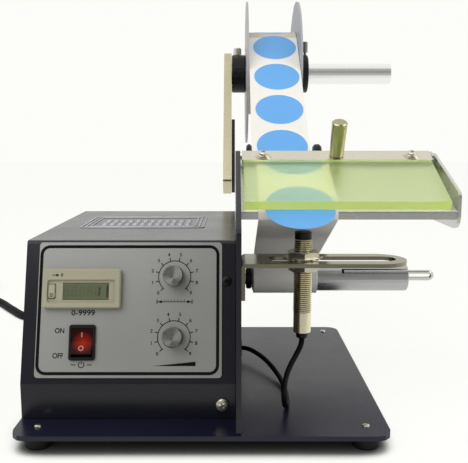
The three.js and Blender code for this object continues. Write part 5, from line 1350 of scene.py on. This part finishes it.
peeled_label = label_disc("label_peeled", on_table, "machine")
for number, middle in enumerate(LABEL_SPOTS):
    label_disc(f"label_on_strip_{number}", on_strip(middle), "machine")
print(len(LABEL_SPOTS), "labels between the roll and the peel edge")

# %% [markdown]
# The roll on the spindle is paper wound on a cardboard core. Its sides show the layers as fine rings, and the
# labels go on round its outside. The roll turns with the reel, so its labels ride on the reel too.

# %% Supply roll
CORE_INNER, CORE_OUTER = 11.4, 13.8
LAYER, LAYER_RELIEF = 1.1, 0.1
ALONG_X = Matrix.Rotation(math.pi / 2, 4, "Y")
spindle = Matrix.Translation(place(0, SPINDLE_Y, SPINDLE_Z)) @ ALONG_X

wound_paper_side, tree, shader = new_finish("glassine_wound_edge", "#e9e2d4", 0.6, IOR=1.5)
layers = ring_noise(tree, place(0, SPINDLE_Y, SPINDLE_Z), ACROSS, LAYER, 5.0)
layer_tone = node(tree, "Mix", {0: layers, 6: linear("#d9d0bf"), 7: linear("#f2ede2")}, data_type="RGBA").outputs[2]
tree.links.new(layer_tone, shader.inputs["Base Color"])
layer_bump = node(tree, "Bump", {"Height": layers, "Distance": LAYER_RELIEF * MM, "Strength": 1.0})
tree.links.new(layer_bump.outputs["Normal"], shader.inputs["Normal"])


def hollow(inner, outer, low, high, soft_in=0.0, soft_along=0.0):
    """A closed profile of a tube, with its two outer edges taken off by so much."""
    corners = [(inner, low), (outer - soft_in, low)]
    if soft_in:
        corners += [(outer, low + soft_along), (outer, high - soft_along)]
    return [*corners, (outer - soft_in, high), (inner, high), (inner, low)]


roll_profile = hollow(CORE_OUTER, ROLL_RADIUS - ROLL_SINK, WEB_LEFT, WEB_RIGHT, 0.15, 0.15)
roll = turned_piece("wound_label_roll", roll_profile, 96, spindle, wound_paper_side, "reel")
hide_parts("label_roll")
core_profile = hollow(CORE_INNER, CORE_OUTER, WEB_LEFT - 0.2, WEB_RIGHT + 0.2)
turned_piece("roll_core", core_profile, 64, spindle, core_board, "reel")

for number in range(4):
    distance = LABEL_SPOTS[-1] - (number + 1) * LABEL_PITCH
    label_disc(f"label_on_roll_{number}", on_roll(distance), "reel")
print("roll of", round(ROLL_RADIUS), "mm radius leaves at", round(math.degrees(leave_angle)), "degrees")

# %% [markdown]
# The take-up roller has wound a few turns of bare backing. They are a thin sleeve with soft edges.

# %% Wound backing on the roller
roller_axis = Matrix.Translation(place(0, TAKE_UP_Y, TAKE_UP_Z)) @ ALONG_X
sleeve_profile = hollow(TAKE_UP_RADIUS + 0.3, TAKE_UP_RADIUS + WOUND_PAPER, WEB_LEFT, WEB_RIGHT, 0.2, 0.3)
backing_sleeve = turned_piece("wound_backing_sleeve", sleeve_profile, 64, roller_axis, bare_backing, "take_up")
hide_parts("wound_backing")

# %% [markdown]
# ## The sensor
#
# A sensor of this kind is a nickel-plated brass tube with an M12 fine thread of 1 mm pitch, a black window at
# its top and a smooth lower end. The thread is drawn as rings, 1.3 mm apart so that they show at this size, and
# its roots are painted darker than the crests, as painted shade. A toothed washer bites between the upper nut
# and the bracket.

# %% Threaded sensor
sensor_middle = sum(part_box("label_sensor"), Vector((0, 0, 0))) / 2
sensor_axis = Matrix.Translation((sensor_middle.x, sensor_middle.y, 0))
THREAD_PITCH, THREAD_CREST, THREAD_ROOT, ROOT_SHADE_TOP = 1.3, 6.0, 5.2, 5.7
SHANK = 5.75
BOOT_BOTTOM, BODY_BOTTOM, THREAD_START, CAP_BASE, CAP_TOP = 51.6, 55.6, 69.6, 117.8, 122.4
TEETH, TOOTH = 16, 1.1

brass_nickel, tree, shader = new_finish("nickel_plated_brass", "#d9d2b2", 0.24, 1.0)
add_relief(tree, shader, 0.4, 0.004, stretch=(1, 1, 20), roughness=(0.2, 0.34))
thread_radius = axis_distance(tree, sensor_axis.to_translation(), UP)
# The roots are darker than the crests: painted shade in the thread.
sockets = {"Value": thread_radius, "From Min": THREAD_ROOT * MM, "From Max": ROOT_SHADE_TOP * MM}
on_crest = node(tree, "MapRange", sockets).outputs[0]
root_shaded = node(tree, "Mix", {0: on_crest, 6: linear("#5b553c"), 7: linear("#e2dbbd")}, data_type="RGBA").outputs[2]
tree.links.new(root_shaded, shader.inputs["Base Color"])
tube_profile = [(0, BODY_BOTTOM), (THREAD_ROOT, BODY_BOTTOM), (SHANK, BODY_BOTTOM + 0.5), (SHANK, THREAD_START)]
turns = int((CAP_BASE - THREAD_START) / THREAD_PITCH)
for number in range(turns):
    height = THREAD_START + number * THREAD_PITCH
    tube_profile += [(THREAD_ROOT, height + 0.15), (THREAD_CREST, height + 0.55), (THREAD_CREST, height + 0.8)]
tube_profile += [(THREAD_ROOT, CAP_BASE), (0, CAP_BASE)]
sensor_tube = turned_piece("threaded_sensor_tube", tube_profile, 40, sensor_axis, brass_nickel, "sensor_carriage")
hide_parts("label_sensor")
ends = bmesh.new()
add_turned(ends, [(0, CAP_BASE - 0.2), (5.5, CAP_BASE - 0.2), (5.5, CAP_TOP - 0.5), (5.0, CAP_TOP), (0, CAP_TOP)])
boot_profile = [(0, BOOT_BOTTOM), (2.8, BOOT_BOTTOM), (3.8, BOOT_BOTTOM + 1), (4.0, BODY_BOTTOM + 0.2)]
add_turned(ends, [*boot_profile, (0, BODY_BOTTOM + 0.2)])
add_piece("sensor_window_and_boot", ends, sensor_axis, black_abs, "sensor_carriage")
nut_low, nut_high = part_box("sensor_nut_upper")
flange = (nut_high.x - nut_low.x) / 2 / MM
teeth = []
for corner in range(4 * TEETH):
    reach = flange + (TOOTH if corner % 4 < 2 else -0.1)
    turn = 2 * math.pi * (corner + 0.3 * (corner % 2)) / (4 * TEETH)
    teeth.append((reach * math.cos(turn), reach * math.sin(turn)))
washer = bmesh.new()
washer_low = nut_low.z / MM
add_plate(washer, teeth, washer_low, washer_low + 0.8, circle(flange - 2, sides=4 * TEETH))
add_piece("tooth_washer", washer, sensor_axis, nickel_plate, "sensor_carriage")
print(turns, "turns of thread, washer", round(2 * (flange + TOOTH), 1), "mm across its teeth")
